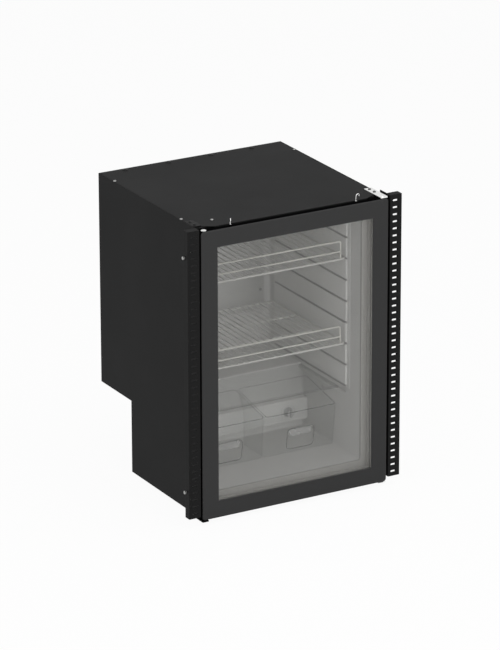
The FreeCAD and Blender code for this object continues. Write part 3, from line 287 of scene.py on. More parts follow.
def metal(name):
    look = metals[name]
    f = Finish(name)
    streak = f.noise(220, 3, 0.6, look["brush"])
    patch = f.noise(30, 3)
    colour = f.mixColour(patch, look["dull"], look["colour"])
    normal = f.bump(streak, 0.25, 0.00002, f.softEdge(look["edge"]))
    return f.surface(f.principled({"Base Color": colour, "Metallic": 1.0, "Normal": normal,
                                   "Roughness": around(look["rough"], 0.06, streak)}))


wireCoats = {
    "coatedWire": dict(colour=(0.86, 0.85, 0.79), shade=(0.80, 0.79, 0.73), rough=0.32),
    # The deck's copy of the wire coat is darker and duller than the front's: painted shade on the deck wires
    "shadedDeckWire": dict(colour=(0.80, 0.795, 0.76), shade=(0.74, 0.735, 0.70), rough=0.4),
}


def coatedWire(name):
    look = wireCoats[name]
    f = Finish(name)
    drift, ripple = f.noise(40, 2), f.noise(500, 2)
    colour = f.mixColour(drift, look["shade"], look["colour"])
    return f.surface(f.principled({"Base Color": colour, "Roughness": around(look["rough"], 0.04, drift),
                                   "Coat Weight": 0.3, "Normal": f.bump(ripple, 0.3, 0.00005)}))


rubberLook = dict(
    colour=(0.018, 0.018, 0.018), shade=(0.012, 0.012, 0.012), rough=0.72, grain=1500, lift=0.00006,
    edge=0.0006)


def sealRubber():
    return grained("sealRubber", rubberLook, (60, 4), (2, 0.5), 0.06, 0.5)


shellLook = dict(colour=(0.010, 0.010, 0.010), rough=0.26)


def shellEnamel():
    f = Finish("shellEnamel")
    flow, peel = f.noise(26, 3), f.noise(240, 2)
    colour = f.mixColour(flow, shellLook["colour"], paler(shellLook["colour"], 1.5))
    normal = f.bump(peel, 0.35, 0.00015, f.softEdge(0.001))
    return f.surface(f.principled({"Base Color": colour, "Coat Weight": 0.4, "Normal": normal,
                                   "Roughness": shellLook["rough"] - 0.05 + flow * 0.14}))


glassLook = dict(tint=(0.99, 0.99, 0.989), veil=0.045, body=(0.42, 0.42, 0.416), shine=0.25)


def paneGlass():
    f = Finish("paneGlass")
    smear = f.noise(9, 4)
    clear = f.add("ShaderNodeBsdfTransparent", None, {"Color": (*glassLook["tint"], 1)})
    sheen = f.principled({"Base Color": (*glassLook["body"], 1), "Roughness": 0.03 + smear * 0.03})
    edge = f.add("ShaderNodeFresnel", None, {"IOR": 1.45})
    amount = edge * glassLook["shine"] + glassLook["veil"] * (0.8 + smear * 0.4)
    return f.veiled(amount, clear, sheen)


clearLooks = {
    "clearPlastic": dict(
        tint=(0.994, 0.995, 0.994), body=(0.34, 0.34, 0.335), rim=0.35, power=4, plain=0.008),
    # The lid's plastic is tinted darker than the tubs', as painted shade on what is seen through it
    "shadedLidPlastic": dict(tint=(0.95, 0.952, 0.95), body=(0.34, 0.34, 0.335), rim=0.35, power=4, plain=0.02),
    "gripFrost": dict(tint=(0.97, 0.972, 0.97), body=(0.76, 0.76, 0.75), rim=0.2, power=3, plain=0.27),
    "clearEdge": dict(tint=(0.90, 0.905, 0.90), body=(0.13, 0.13, 0.125), rim=0.25, power=2, plain=0.26),
}


def clearPlastic(name):
    look = clearLooks[name]
    f = Finish(name)
    flow = f.noise(18, 3)
    clear = f.add("ShaderNodeBsdfTransparent", None, {"Color": (*look["tint"], 1)})
    sheen = f.principled({"Base Color": f.mixColour(flow, look["body"], paler(look["body"], 1.2)),
                          "Roughness": 0.12 + flow * 0.08})
    edge = f.add("ShaderNodeLayerWeight", None, {"Blend": 0.5}, out="Facing")
    amount = edge ** look["power"] * look["rim"] + look["plain"] * (0.7 + flow * 0.6)
    return f.veiled(amount, clear, sheen)


made = {name: powderCoat(name) for name in powderCoats}
made.update({name: mouldedPlastic(name) for name in moulded})
made.update({name: metal(name) for name in metals})
made.update({name: clearPlastic(name) for name in clearLooks})
made.update({name: coatedWire(name) for name in wireCoats})
made.update(doorPaint=doorPaint(), sealRubber=sealRubber(), shellEnamel=shellEnamel(),
            paneGlass=paneGlass(), supportPlastic=supportPlastic())
print("finishes made:", len(made))

wears = {
    "casingCoat": ["side_panel_left", "side_panel_right", "top_panel", "rear_panel", "step_panel",
                   "recess_panel", "base_panel", "compressor_tray"],
    "blackCoat": ["hinge_cover_left", "corner_bracket_left"],
    "stripCoat": ["mounting_strip_left", "mounting_strip_right", "strip_standoffs"],
    "doorPaint": ["door_frame"],
    "linerPlastic": ["liner"],
    "framePlastic": ["door_backing", "front_frame"],
    "supportPlastic": ["shelf_support_left", "shelf_support_right"],
    "whitePlastic": ["control_panel", "hinge_hole_plug"],
    "knobPlastic": ["thermostat_knob"],
    "darkPlastic": ["control_box", "fan_shroud", "fan_rotor", "cable_inlet", "hinge_bushes"],
    "trimPlastic": ["glazing_bead"],
    "spacerCoat": ["pane_spacer"],
    "paneGlass": ["pane_outer", "pane_inner"],
    "clearPlastic": ["crisper_cover", "crisper_left", "crisper_right"],
    "coatedWire": ["wire_shelf_upper", "wire_shelf_lower", "shelf_rail_upper", "shelf_rail_lower"],
    "sealRubber": ["door_gasket", "feet", "compressor_grommets"],
    "satinSteel": ["hinge_plate_top", "hinge_plate_bottom", "hinge_pins"],
    "greySteel": ["hinge_screws"],
    "zincSteel": ["top_screws", "strip_bolts", "strip_screws", "evaporator_screws", "compressor_bolts"],
    "hookSteel": ["top_hooks"],
    "blackZinc": ["black_screws"],
    "plateAluminium": ["evaporator_plate", "condenser"],
    "drawnCopper": ["suction_pipe", "discharge_pipe", "liquid_line", "filter_drier"],
    "shellEnamel": ["compressor"],
    "foamSkin": ["insulation"],
}
for name, members in wears.items():
    for member in members:
        nodes[member].data.materials.clear()
        nodes[member].data.materials.append(made[name])
bare = sorted(n for n in nodes if nodes[n].data.materials[0] not in made.values())
print("nodes without a finish:", bare)

# Modelling helpers

nearly, touching = 1e-5, 1e-6  # how close counts as the same level, and as one point
hair = 0.0001  # keeps neighbouring loops of a bridge apart


def edgesOf(verts):
    inside = set(verts)
    return list({e for v in verts for e in v.link_edges if e.other_vert(v) in inside})


def newVerts(result):
    return [g for g in result if isinstance(g, bmesh.types.BMVert)]


def block(build, low, high):
    verts = bmesh.ops.create_cube(build, size=1)["verts"]
    bmesh.ops.scale(build, vec=Vector(high) - Vector(low), verts=verts)
    bmesh.ops.translate(build, vec=(Vector(low) + Vector(high)) / 2, verts=verts)
    return verts


def prism(build, corners, along):
    # A flat outline, extruded
    end = build.faces.new([build.verts.new(corner) for corner in corners])
    far = newVerts(bmesh.ops.extrude_face_region(build, geom=[end], use_keep_orig=True)["geom"])
    bmesh.ops.translate(build, vec=along, verts=far)


def faceOut(build):
    bmesh.ops.recalc_face_normals(build, faces=build.faces)


def roundOff(build, edges, width, steps=3):
    bmesh.ops.bevel(build, geom=edges, offset=width, offset_type="OFFSET", affect="EDGES", segments=steps,
                    profile=0.5, material=-1, clamp_overlap=True)


def roundCorners(build, verts, width, steps):
    bmesh.ops.bevel(build, geom=verts, offset=width, offset_type="OFFSET", affect="VERTICES", segments=steps,
                    profile=0.5, material=-1)


def hollow(build, mouth, corner, steps, wall):
    # A closed form loses its mouth and gets round corners and a wall
    bmesh.ops.delete(build, geom=mouth, context="FACES_ONLY")
    faceOut(build)
    roundOff(build, [e for e in build.edges if len(e.link_faces) == 2], corner, steps)
    faceOut(build)
    bmesh.ops.solidify(build, geom=build.faces[:], thickness=-wall)


def sink(build, faces, border, depth=0):
    return bmesh.ops.inset_region(build, faces=faces, thickness=border, depth=-depth,
                                  use_even_offset=True)["faces"]


def softBlock(build, low, high, width, steps=3):
    roundOff(build, edgesOf(block(build, low, high)), width, steps)


def uprights(verts, axis):
    # Edges of a block that run along one axis
    runs = [(e, e.verts[0].co - e.verts[1].co) for e in edgesOf(verts)]
    return [e for e, run in runs if all((abs(run[i]) > nearly) == (i == axis) for i in range(3))]


def frameLoop(build, half, low, high, y, corner=0.0, steps=4):
    # Upright rectangle of edges at depth y, with round corners where asked
    before = set(build.edges)
    verts = bmesh.ops.create_grid(build, x_segments=1, y_segments=1, size=0.5,
                                  matrix=Matrix.Rotation(math.pi / 2, 4, "X"))["verts"]
    bmesh.ops.scale(build, vec=(2 * half, 1, high - low), verts=verts)
    bmesh.ops.translate(build, vec=(0, y, (low + high) / 2), verts=verts)
    if corner:
        roundCorners(build, verts, corner, steps)
    loop = [e for e in build.edges if e not in before]
    bmesh.ops.delete(build, geom=list({f for e in loop for f in e.link_faces}), context="FACES_ONLY")
    return loop


def bridgeAll(build, loops):
    # Neighbouring loops never share a middle, or the bridge would cross itself
    for first, second in zip(loops, loops[1:] + loops[:1]):
        bmesh.ops.bridge_loops(build, edges=first + second)


def inMetres(outline):
    # Longer outlines are written in millimetres
    return [(radius / 1000, height / 1000) for radius, height in outline]


def turned(build, outline, centre, axis, steps=32, closed=False):
    # An outline of (radius, height) points goes once round the axis
    before = set(build.verts)
    axis = Vector(axis).normalized()
    side = axis.orthogonal().normalized()
    verts = [build.verts.new(Vector(centre) + side * radius + axis * height) for radius, height in outline]
    pairs = list(zip(verts, verts[1:])) + ([(verts[-1], verts[0])] if closed else [])
    edges = [build.edges.new(pair) for pair in pairs]
    bmesh.ops.spin(build, geom=verts + edges, cent=centre, axis=axis, angle=2 * math.pi, steps=steps,
                   use_merge=True, use_duplicate=False)
    fresh = [v for v in build.verts if v not in before]
    bmesh.ops.remove_doubles(build, verts=fresh, dist=touching)
    return [v for v in build.verts if v not in before]


def drawWire(build, points, radius, bend=0.0, sides=10, steps=5, loop=False):
    # Round wire: straight runs are extruded, and bends are spun
    points = [Vector(p) for p in points]
    before = set(build.verts)
    ahead = (points[1] - points[0]).normalized()
    placed = Matrix.Translation(points[0]) @ ahead.to_track_quat("Z", "Y").to_matrix().to_4x4()
    rim = edgesOf(bmesh.ops.create_circle(build, cap_ends=not loop, segments=sides, radius=radius,
                                          matrix=placed)["verts"])
    here = points[0]
    for i in range(1, len(points)):
        into = (points[i] - points[i - 1]).normalized()
        turn = into.angle(points[i + 1] - points[i]) if i + 1 < len(points) else 0
        stop = points[i] - into * bend * math.tan(turn / 2)
        verts = newVerts(bmesh.ops.extrude_edge_only(build, edges=rim)["geom"])
        bmesh.ops.translate(build, vec=stop - here, verts=verts)
        rim, here = edgesOf(verts), stop
        if turn > 1e-4:
            out = (points[i + 1] - points[i]).normalized()
            middle = stop + (out - into * out.dot(into)).normalized() * bend
            last = bmesh.ops.spin(build, geom=rim, cent=middle, axis=into.cross(out).normalized(), angle=turn,
                                  steps=steps, use_merge=False, use_duplicate=False)["geom_last"]
            rim = [g for g in last if isinstance(g, bmesh.types.BMEdge)]
            here = points[i] + out * bend * math.tan(turn / 2)
    if loop:
        bmesh.ops.remove_doubles(build, verts=[v for v in build.verts if v not in before], dist=touching)
    else:
        bmesh.ops.contextual_create(build, geom=rim)


def looseBoxes(node):
    # Lowest and highest corner of each loose solid in a CAD node
    build = bmesh.new()
    build.from_mesh(nodes[node].data)
    bmesh.ops.remove_doubles(build, verts=build.verts, dist=touching)
    left, boxes = set(build.verts), []
    while left:
        waiting, places = [left.pop()], []
        while waiting:
            vert = waiting.pop()
            places.append(vert.co.copy())
            joined = {e.other_vert(vert) for e in vert.link_edges} & left
            left -= joined
            waiting += joined
        boxes.append([Vector([pick(p[i] for p in places) for i in range(3)]) for pick in (min, max)])
    build.free()
    return sorted(boxes, key=lambda pair: tuple(pair[0]))


def linked(name, data):
    thing = bpy.data.objects.new(name, data)
    bpy.context.scene.collection.objects.link(thing)
    return thing


def settle(build, name, look, node, stands=True, sharp=32):
    # The finished mesh becomes a piece that rides with the node's body
    faceOut(build)
    mesh = bpy.data.meshes.new(name)
    build.to_mesh(mesh)
    build.free()
    mesh.shade_smooth()
    mesh.set_sharp_from_angle(angle=math.radians(sharp))
    mesh.materials.append(made[look])
    piece = linked(name, mesh)
    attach(piece, bodyOf[node])
    if stands:
        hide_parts(node)


# Inner space

room = dict(
    half=0.2065, front=-0.2242, hump=0.055, rear=0.2205, floor=0.069, ledge=0.239, top=0.7095, corner=0.006,
    wall=0.002, steps=4)


def innerLiner():
    s = room
    outline = [(s["front"], s["floor"]), (s["hump"], s["floor"]), (s["hump"], s["ledge"]),
               (s["rear"], s["ledge"]), (s["rear"], s["top"]), (s["front"], s["top"])]
    build = bmesh.new()
    prism(build, [(-s["half"], y, z) for y, z in outline], (2 * s["half"], 0, 0))
    mouth = [f for f in build.faces if all(abs(v.co.y - s["front"]) < touching for v in f.verts)]
    hollow(build, mouth, s["corner"], s["steps"], s["wall"])
    settle(build, "inner_liner", "linerPlastic", "liner")


ringShape = dict(inner=0.0295, lap=0.0004, edge=0.004, round=0.0006)


def frontRing():
    # Moulded rim round the opening, inside a black steel flange for the gasket
    s = ringShape
    low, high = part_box("front_frame")

    def ring(build, grow, y, corner):
        return frameLoop(build, room["half"] + grow, room["floor"] - grow, room["top"] + grow, y, corner)

    build = bmesh.new()
    opening = [(low.y + hair, s["round"]), (low.y + s["round"] + hair, 0), (high.y - hair, 0)]
    loops = [ring(build, s["inner"], y, s["edge"]) for y in (high.y, low.y)]
    loops += [ring(build, grow, y, room["corner"] + grow) for y, grow in opening]
    bridgeAll(build, loops)
    settle(build, "front_ring", "framePlastic", "front_frame")
    flange = bmesh.new()
    loops = [frameLoop(flange, high.x, low.z, high.z, y, s["edge"]) for y in (high.y, low.y + s["lap"])]
    loops += [ring(flange, s["inner"] - s["lap"], y, s["edge"])
              for y in (low.y + 1.2 * s["lap"], high.y - s["lap"])]
    bridgeAll(flange, loops)
    settle(flange, "front_flange", "blackCoat", "front_frame")


backShape = dict(
    pane=0.029, lip=0.041, clamp=0.003, seat=0.0305, round=0.0012, skirt=0.0105, skirtWall=0.0022,
    corner=0.004)


def doorBack():
    # Black pan behind the frame, and a light clamp that holds the panes
    s = backShape
    low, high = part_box("door_backing")
    doorLow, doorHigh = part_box("door_frame")

    def ringed(places, rounded=0):
        # Only the first few loops have round corners
        build = bmesh.new()
        corners = [s["corner"]] * rounded + [0] * (len(places) - rounded)
        loops = [frameLoop(build, doorHigh.x - inset, doorLow.z + inset, doorHigh.z - inset, y, corner)
                 for (inset, y), corner in zip(places, corners)]
        bridgeAll(build, loops)
        return build

    edge, seat, clamp = doorHigh.x - high.x, s["seat"], high.y - s["clamp"]
    pan = [(edge, low.y), (edge, high.y - s["round"]), (edge + s["round"], high.y), (seat, high.y - hair),
           (seat, clamp), (s["pane"], clamp - hair), (s["pane"], low.y + hair)]
    settle(ringed(pan, 3), "door_back_pan", "darkPlastic", "door_backing")
    end, wall = high.y + s["skirt"], s["lip"] - s["skirtWall"]
    holder = [(seat, clamp), (seat, high.y - 2 * hair), (wall - s["round"], high.y - hair),
              (wall, high.y + s["round"]), (wall, end), (s["lip"], end - hair), (s["lip"], clamp + hair)]
    settle(ringed(holder), "glass_clamp", "framePlastic", "door_backing")


# Wire shelves

shelfShape = dict(
    rod=0.0025, wire=0.0016, post=0.002, weld=0.0006, pitch=0.0176, count=23, corner=0.012, railCorner=0.006,
    middle=0.43)


def wireShelf(level):
    s = shelfShape
    low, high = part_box("wire_shelf_" + level)
    x, z = high.x - s["rod"], low.z + s["rod"]
    near, far = low.y + s["rod"], high.y - s["rod"]
    deck = bmesh.new()
    border = [(0, far, z), (x, far, z), (x, near, z), (-x, near, z), (-x, far, z), (0, far, z)]
    drawWire(deck, border, s["rod"], s["corner"], 12, 6, True)
    for share in (1 / 3, 2 / 3):
        y = near + (far - near) * share
        drawWire(deck, [(-x, y, z), (x, y, z)], s["rod"])
    over = z + s["rod"] + s["wire"] - s["weld"]
    for i in range(s["count"]):
        across = s["pitch"] * (i - (s["count"] - 1) / 2)
        drawWire(deck, [(across, near - s["rod"], over), (across, far + s["rod"], over)], s["wire"], 0, 8)
    # The deck wears the darker copy of the wire coat, as painted shade
    settle(deck, "shelf_deck_" + level, "shadedDeckWire", "wire_shelf_" + level)
    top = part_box("shelf_rail_" + level)[1]
    x, high = top.x - s["post"], top.z - s["post"]
    rail = bmesh.new()
    hoop = [(-x, near, z), (-x, near, high), (x, near, high), (x, near, z)]
    drawWire(rail, hoop, s["post"], s["railCorner"])
    middle = z + (high - z) * s["middle"]
    drawWire(rail, [(-x, near, middle), (x, near, middle)], s["post"])
    settle(rail, "shelf_front_" + level, "coatedWire", "shelf_rail_" + level)


# Crispers and their cover

crisperShape = dict(
    frontHigh=0.114, bendHigh=0.0887, lean=0.029, rake=0.014, corner=0.007, wall=0.0018, rim=0.0011,
    rimThin=0.0005, rimTurn=0.06, gripWidth=0.080, gripLow=0.012, gripHigh=0.070, gripRim=0.004,
    gripRise=0.004, gripCorner=0.011, gripLine=0.0011, gripEdge=0.0012, lipWide=0.064, lipHigh=0.019,
    lipThick=0.0016, lipEdge=0.0006)


def crisper(side):
    s = crisperShape
    node = "crisper_" + side
    low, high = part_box(node)
    middle, rim, foot = (low.x + high.x) / 2, low.z + s["frontHigh"], high.y - s["lean"]
    outline = [(low.y + s["rake"], low.z), (foot, low.z), (foot, low.z + s["bendHigh"]), (high.y, high.z),
               (low.y, rim)]
    build = bmesh.new()
    prism(build, [(low.x, y, z) for y, z in outline], (high.x - low.x, 0, 0))
    lid = [f for f in build.faces if all(v.co.z > rim - nearly for v in f.verts)]
    hollow(build, lid, s["corner"], 5, s["wall"])
    # The grip is a raised ring, drawn flat and then laid on the raked front
    before = set(build.verts)
    slope = math.atan(s["rake"] / s["frontHigh"])
    size = (s["gripWidth"], (s["gripHigh"] - s["gripLow"]) / math.cos(slope))
    pad = bmesh.ops.create_grid(build, x_segments=1, y_segments=1, size=0.5)["verts"]
    bmesh.ops.scale(build, vec=(*size, 1), verts=pad)
    roundCorners(build, pad, s["gripCorner"], 5)
    face = [f for f in build.faces if not (set(f.verts) & before)]
    ring = sink(build, face, s["gripRim"])
    bmesh.ops.delete(build, geom=face, context="FACES_ONLY")
    top = newVerts(bmesh.ops.extrude_face_region(build, geom=ring, use_keep_orig=True)["geom"])
    bmesh.ops.translate(build, vec=(0, 0, s["gripRise"] + s["wall"] / 2), verts=top)
    roundOff(build, [e for e in edgesOf(top) if e.calc_face_angle(0) > 1], s["gripEdge"], 2)
    height = low.z + (s["gripLow"] + s["gripHigh"]) / 2
    depth = low.y + s["rake"] * (rim - height) / s["frontHigh"] + s["wall"] / 2
    place = Matrix.Translation((middle, depth, height)) @ Matrix.Rotation(math.pi / 2 + slope, 4, "X")
    bmesh.ops.transform(build, verts=[v for v in build.verts if v not in before], matrix=place)
    settle(build, "crisper_tub_" + side, "clearPlastic", node)
    edges = bmesh.new()
    r, x = s["rim"], (high.x - low.x) / 2 - s["rim"]
    front, back = Vector((low.y + r, rim - r)), Vector((high.y - r, high.z - r))
    turn = front.lerp(back, s["rimTurn"])
    for end, thick in ((front, r), (back, s["rimThin"])):
        rimLine = [(middle - x, *turn), (middle - x, *end), (middle + x, *end), (middle + x, *turn)]
        drawWire(edges, rimLine, thick, s["corner"], 8)
    half, tall = size[0] / 2 - s["gripLine"], size[1] / 2 - s["gripLine"]
    outline = [(0, tall), (half, tall), (half, -tall), (-half, -tall), (-half, tall), (0, tall)]
    gripLine = [place @ Vector((across, up, s["gripRise"])) for across, up in outline]
    drawWire(edges, gripLine, s["gripLine"], s["gripCorner"], 8, 5, True)
    settle(edges, "crisper_edges_" + side, "clearEdge", node, False)
    lip = bmesh.new()
    over, wide, back = size[1] / 2 - s["gripRim"], s["lipWide"] / 2, s["wall"] / 2
    softBlock(lip, (-wide, over - s["lipHigh"], back), (wide, over, back + s["lipThick"]), s["lipEdge"])
    bmesh.ops.transform(lip, verts=lip.verts, matrix=place)
    settle(lip, "crisper_lip_" + side, "gripFrost", node, False)


coverShape = dict(edge=0.0016, lip=0.009, lipDrop=0.0012)


def crisperCover():
    low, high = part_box("crisper_cover")
    build = bmesh.new()
    softBlock(build, (low.x, low.y, low.z + coverShape["lipDrop"]), high, coverShape["edge"])
    softBlock(build, (low.x, low.y, low.z), (high.x, low.y + coverShape["lip"], high.z), coverShape["edge"])
    # The darker lid paints shade on the ledge seen through it
    settle(build, "crisper_lid", "shadedLidPlastic", "crisper_cover")


# Shelf racks on the walls

rackShape = dict(
    groove=0.006, grooveDepth=0.004, grooveFoot=0.0005, first=0.008, pitch=0.0559, count=9, round=0.0009,
    plate=0.006, endGap=0.003, ledgeDeep=0.014, ledgeHigh=0.006, ledgeRake=0.060, coverDrop=0.007,
    humpGap=0.0003, rearGap=0.028, web=0.003, nose=0.013, noseThick=0.0016, noseLap=0.001, noseEdge=0.0007,
    plugAt=(-0.044, 0.205), plug=[(0, -1), (4.2, -1), (4.2, 0.6), (3.36, 1.2), (2.1, 1.2), (1.89, 0.2),
    (0, 0)])


def shelfRack(side, sign):
    s = rackShape
    node = "shelf_support_" + side
    wall, ledge = room["half"], room["ledge"]
    face, top, foot = wall - s["plate"], room["top"] - s["endGap"], ledge + s["endGap"]
    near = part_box("wire_shelf_upper")[0].y
    floor = face + s["grooveDepth"]
    outline = [(wall, foot), (face, foot)]
    for i in range(s["count"]):
        middle = ledge + s["first"] + s["pitch"] * i
        under, over = max(middle - s["groove"] / 2, foot + s["grooveFoot"]), middle + s["groove"] / 2
        outline += [(face, under), (floor, under), (floor, over), (face, over)]
    outline += [(face, top), (wall, top)]
    build = bmesh.new()
    prism(build, [(x * sign, near, z) for x, z in outline], (0, room["rear"] - s["rearGap"] - near, 0))
    faceOut(build)
    lips = [e for e in build.edges if all(abs(abs(v.co.x) - face) < touching for v in e.verts)]
    roundOff(build, lips, s["round"], 2)
    # The cover's ledge and the strip over it taper at the front
    bottom, rear = ledge - s["coverDrop"], room["hump"] - s["humpGap"]
    for x, front, upper in (((face, wall), near, foot),
                            ((wall - s["ledgeDeep"], face + s["web"]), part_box(node)[0].y, bottom)):
        ends = sorted(v * sign for v in x)
        verts = block(build, (ends[0], front, bottom - s["ledgeHigh"]), (ends[1], rear, upper))
        for vert in verts:
            if vert.co.y < front + nearly and vert.co.z < upper - nearly:
                vert.co.y += s["ledgeRake"]
        roundOff(build, edgesOf(verts), s["round"], 2)
    settle(build, "shelf_rack_" + side, "supportPlastic", node)
    nose = bmesh.new()
    ends = sorted((wall * sign, (wall - s["noseThick"]) * sign))
    softBlock(nose, (ends[0], near - s["nose"], foot), (ends[1], near + s["noseLap"], top), s["noseEdge"], 2)
    settle(nose, "rack_nose_" + side, "whitePlastic", node, False)
    plug = bmesh.new()
    turned(plug, inMetres(s["plug"]), (wall * sign, *s["plugAt"]), (-sign, 0, 0), 24)
    settle(plug, "wall_plug_" + side, "knobPlastic", "liner", False)


# Thermostat

panelShape = dict(
    corner=0.006, edge=0.0018, field=0.0035, fieldDeep=0.0006, ring=0.0195, ringWidth=0.0012, ringRise=0.0007,
    ringFoot=0.001, ticks=9, tickIn=0.0150, tickOut=0.0185, tickHalf=0.0005, tickRise=0.0003, sweep=270)


def controlPanel():
    s = panelShape
    low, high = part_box("control_panel")
    knobLow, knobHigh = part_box("thermostat_knob")
    seat = (knobLow + knobHigh) / 2
    seat.y = low.y
    build = bmesh.new()
    verts = block(build, low, high)
    roundOff(build, uprights(verts, 1), s["corner"], 4)
    roundOff(build, [e for e in build.edges if all(v.co.y < low.y + nearly for v in e.verts)], s["edge"], 3)
    face = [f for f in build.faces if f.normal.y < -0.99 and f.calc_center_median().y < low.y + nearly]
    sink(build, face, s["field"])
    sink(build, face, s["fieldDeep"], s["fieldDeep"])
    inner, outer, foot, rise = s["ring"], s["ring"] + s["ringWidth"], s["ringFoot"], -s["ringRise"]
    turned(build, [(inner, foot), (inner, rise), (outer, rise), (outer, foot)], seat, (0, 1, 0), 48, True)
    settle(build, "control_plate", "whitePlastic", "control_panel")
    marks = bmesh.new()
    half, rise = s["tickHalf"], s["tickRise"]
    for i in range(s["ticks"]):
        verts = block(marks, (-half, -rise, s["tickIn"]), (half, rise, s["tickOut"]))
        angle = math.radians(s["sweep"] * (i / (s["ticks"] - 1) - 0.5))
        bmesh.ops.rotate(marks, cent=(0, 0, 0), matrix=Matrix.Rotation(angle, 3, "Y"), verts=verts)
        bmesh.ops.translate(marks, vec=(seat.x, seat.y + s["fieldDeep"], seat.z), verts=verts)
    settle(marks, "dial_marks", "knobPlastic", "control_panel", False)


knobShape = dict(
    outline=[(0, 0), (12.8, 0), (13, 0.4), (13, 2.0), (12.5, 2.8), (11.3, 3.3), (11.0, 4.0), (10.6, 11.2),
    (9.9, 12.4), (8.6, 13), (0, 13)], gap=0.0003, flutes=16, fluteDeep=0.00035, fluted=(0.0035, 0.0115),
    ribHalf=0.0023, ribReach=0.0108, ribLow=0.010, ribEdge=0.0014, stem=[(0, 0), (3, 0), (3, 4), (0, 4)],
    markHalf=0.0006, markOut=0.00005, markDeep=0.0006, markFrom=0.0045, markTo=0.0098, markEdge=0.0002)


def thermostatKnob():
    s = knobShape
    low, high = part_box("thermostat_knob")
    seat = (low + high) / 2
    seat.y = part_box("control_panel")[0].y - s["gap"]
    build = bmesh.new()
    for vert in turned(build, inMetres(s["outline"]), seat, (0, -1, 0), 64):
        out = Vector((vert.co.x - seat.x, 0, vert.co.z - seat.z))
        if s["fluted"][0] < seat.y - vert.co.y < s["fluted"][1]:
            turn = math.atan2(out.z, out.x)
            vert.co += out.normalized() * (math.cos(turn * s["flutes"]) - 1) * s["fluteDeep"]
    softBlock(build, (seat.x - s["ribHalf"], low.y, seat.z - s["ribReach"]),
              (seat.x + s["ribHalf"], seat.y - s["ribLow"], seat.z + s["ribReach"]), s["ribEdge"], 4)
    turned(build, inMetres(s["stem"]), seat, (0, 1, 0), 24)
    settle(build, "knob_cap", "knobPlastic", "thermostat_knob")
    mark = bmesh.new()
    softBlock(mark, (seat.x - s["markHalf"], low.y - s["markOut"], seat.z + s["markFrom"]),
              (seat.x + s["markHalf"], low.y + s["markDeep"], seat.z + s["markTo"]), s["markEdge"], 1)
    settle(mark, "knob_pointer", "whitePlastic", "thermostat_knob", False)


# Fasteners

screwShape = dict(
    dome=[(1, 0), (1, 0.30), (0.96, 0.52), (0.86, 0.74), (0.72, 0.90), (0.58, 0.98)], cross=0.5,
    crossDeep=0.55, arm=0.268, stem=0.0019, rise=0.0022, recess=(0.45, 0.52), recessOver=0.0002)


def panScrew(build, seat, axis, radius, rise, length):
    s = screwShape
    outline = [(0, -length), (s["stem"], -length), (s["stem"], -hair), (radius, -hair)]
    outline += [(radius * r, rise * h) for r, h in s["dome"]]
    outline += [(radius * s["cross"], rise), (radius * s["cross"] * 0.98, rise * (1 - s["crossDeep"])),
                (0, rise * (0.9 - s["crossDeep"]))]
    seat, axis = Vector(seat), Vector(axis)
    side = axis.orthogonal().normalized()
    other = axis.cross(side)
    inner, outer = (radius * share for share in s["recess"])
    for vert in turned(build, outline, seat, axis, 24):
        height = (vert.co - seat).dot(axis)
        out = vert.co - seat - axis * height
        if height > s["recessOver"] and inner < out.length < outer:
            along = sorted((abs(out.normalized().dot(side)), abs(out.normalized().dot(other))))
            reach = 1 / along[1] if along[0] <= s["arm"] * along[1] * 1.01 else s["arm"] / along[0]
            vert.co += out * (reach - 1)


def screwSet(node, name, look, axis, level):
    # One screw for each loose solid; the heads point away from a level on the axis
    rise = screwShape["rise"]
    build = bmesh.new()
    for low, high in looseBoxes(node):
        seat, along, other = (low + high) / 2, Vector(), (axis + 1) % 3
        along[axis] = 1 if seat[axis] > level else -1
        seat[axis] = high[axis] - rise if seat[axis] > level else low[axis] + rise
        panScrew(build, seat, along, (high[other] - low[other]) / 2, rise, high[axis] - low[axis] - rise)
    settle(build, name, look, node)


# Door gasket

gasketShape = dict(
    width=0.014, outline=[(0, 0), (0.5, 0.01), (1, 0), (1, 0.22), (0.93, 0.28), (0.78, 0.36), (0.74, 0.46),
    (0.80, 0.56), (0.95, 0.62), (1, 0.68), (1, 0.94), (0.95, 1), (0.05, 0.99), (0, 0.94), (0, 0.68),
    (0.05, 0.62), (0.20, 0.56), (0.26, 0.46), (0.22, 0.36), (0.07, 0.28), (0, 0.22)])


def doorGasket():
    s = gasketShape
    low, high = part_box("door_gasket")
    build = bmesh.new()
    places = [(across * s["width"], low.y + deep * (high.y - low.y)) for across, deep in s["outline"]]
    bridgeAll(build, [frameLoop(build, high.x - inset, low.z + inset, high.z - inset, y)
                      for inset, y in places])
    settle(build, "gasket_bellows", "sealRubber", "door_gasket")


# Plug in the unused hinge hole

plugShape = dict(
    head=[(0, 0), (7, 0), (7, 0.3), (6.6, 0.8), (5.6, 1.1), (0, 1.2)], stem=[(0, -10), (3.04, -10), (3.8, -8),
    (3.8, 0.2), (0, 0.2)])


def holePlug():
    low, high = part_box("hinge_hole_plug")
    seat = (low + high) / 2
    seat.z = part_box("door_frame")[1].z
    build = bmesh.new()
    for part, steps in (("head", 32), ("stem", 24)):
        turned(build, inMetres(plugShape[part]), seat, (0, 0, 1), steps)
    settle(build, "hole_cap", "whitePlastic", "hinge_hole_plug")


# Feet

footShape = dict(
    outline=[(0, 0), (13.6, 0), (14.6, 0.4), (15, 1.4), (15, 3.2), (14.2, 3.8), (14.2, 4.6), (15.4, 5.2),
    (17.2, 12.4), (18, 12.8), (18, 15), (0, 15)])


def footSet():
    build = bmesh.new()
    for low, high in looseBoxes("feet"):
        middle = (low + high) / 2
        turned(build, inMetres(footShape["outline"]), (middle.x, middle.y, low.z), (0, 0, 1), 40)
    settle(build, "rubber_feet", "sealRubber", "feet")


# Compressor bay

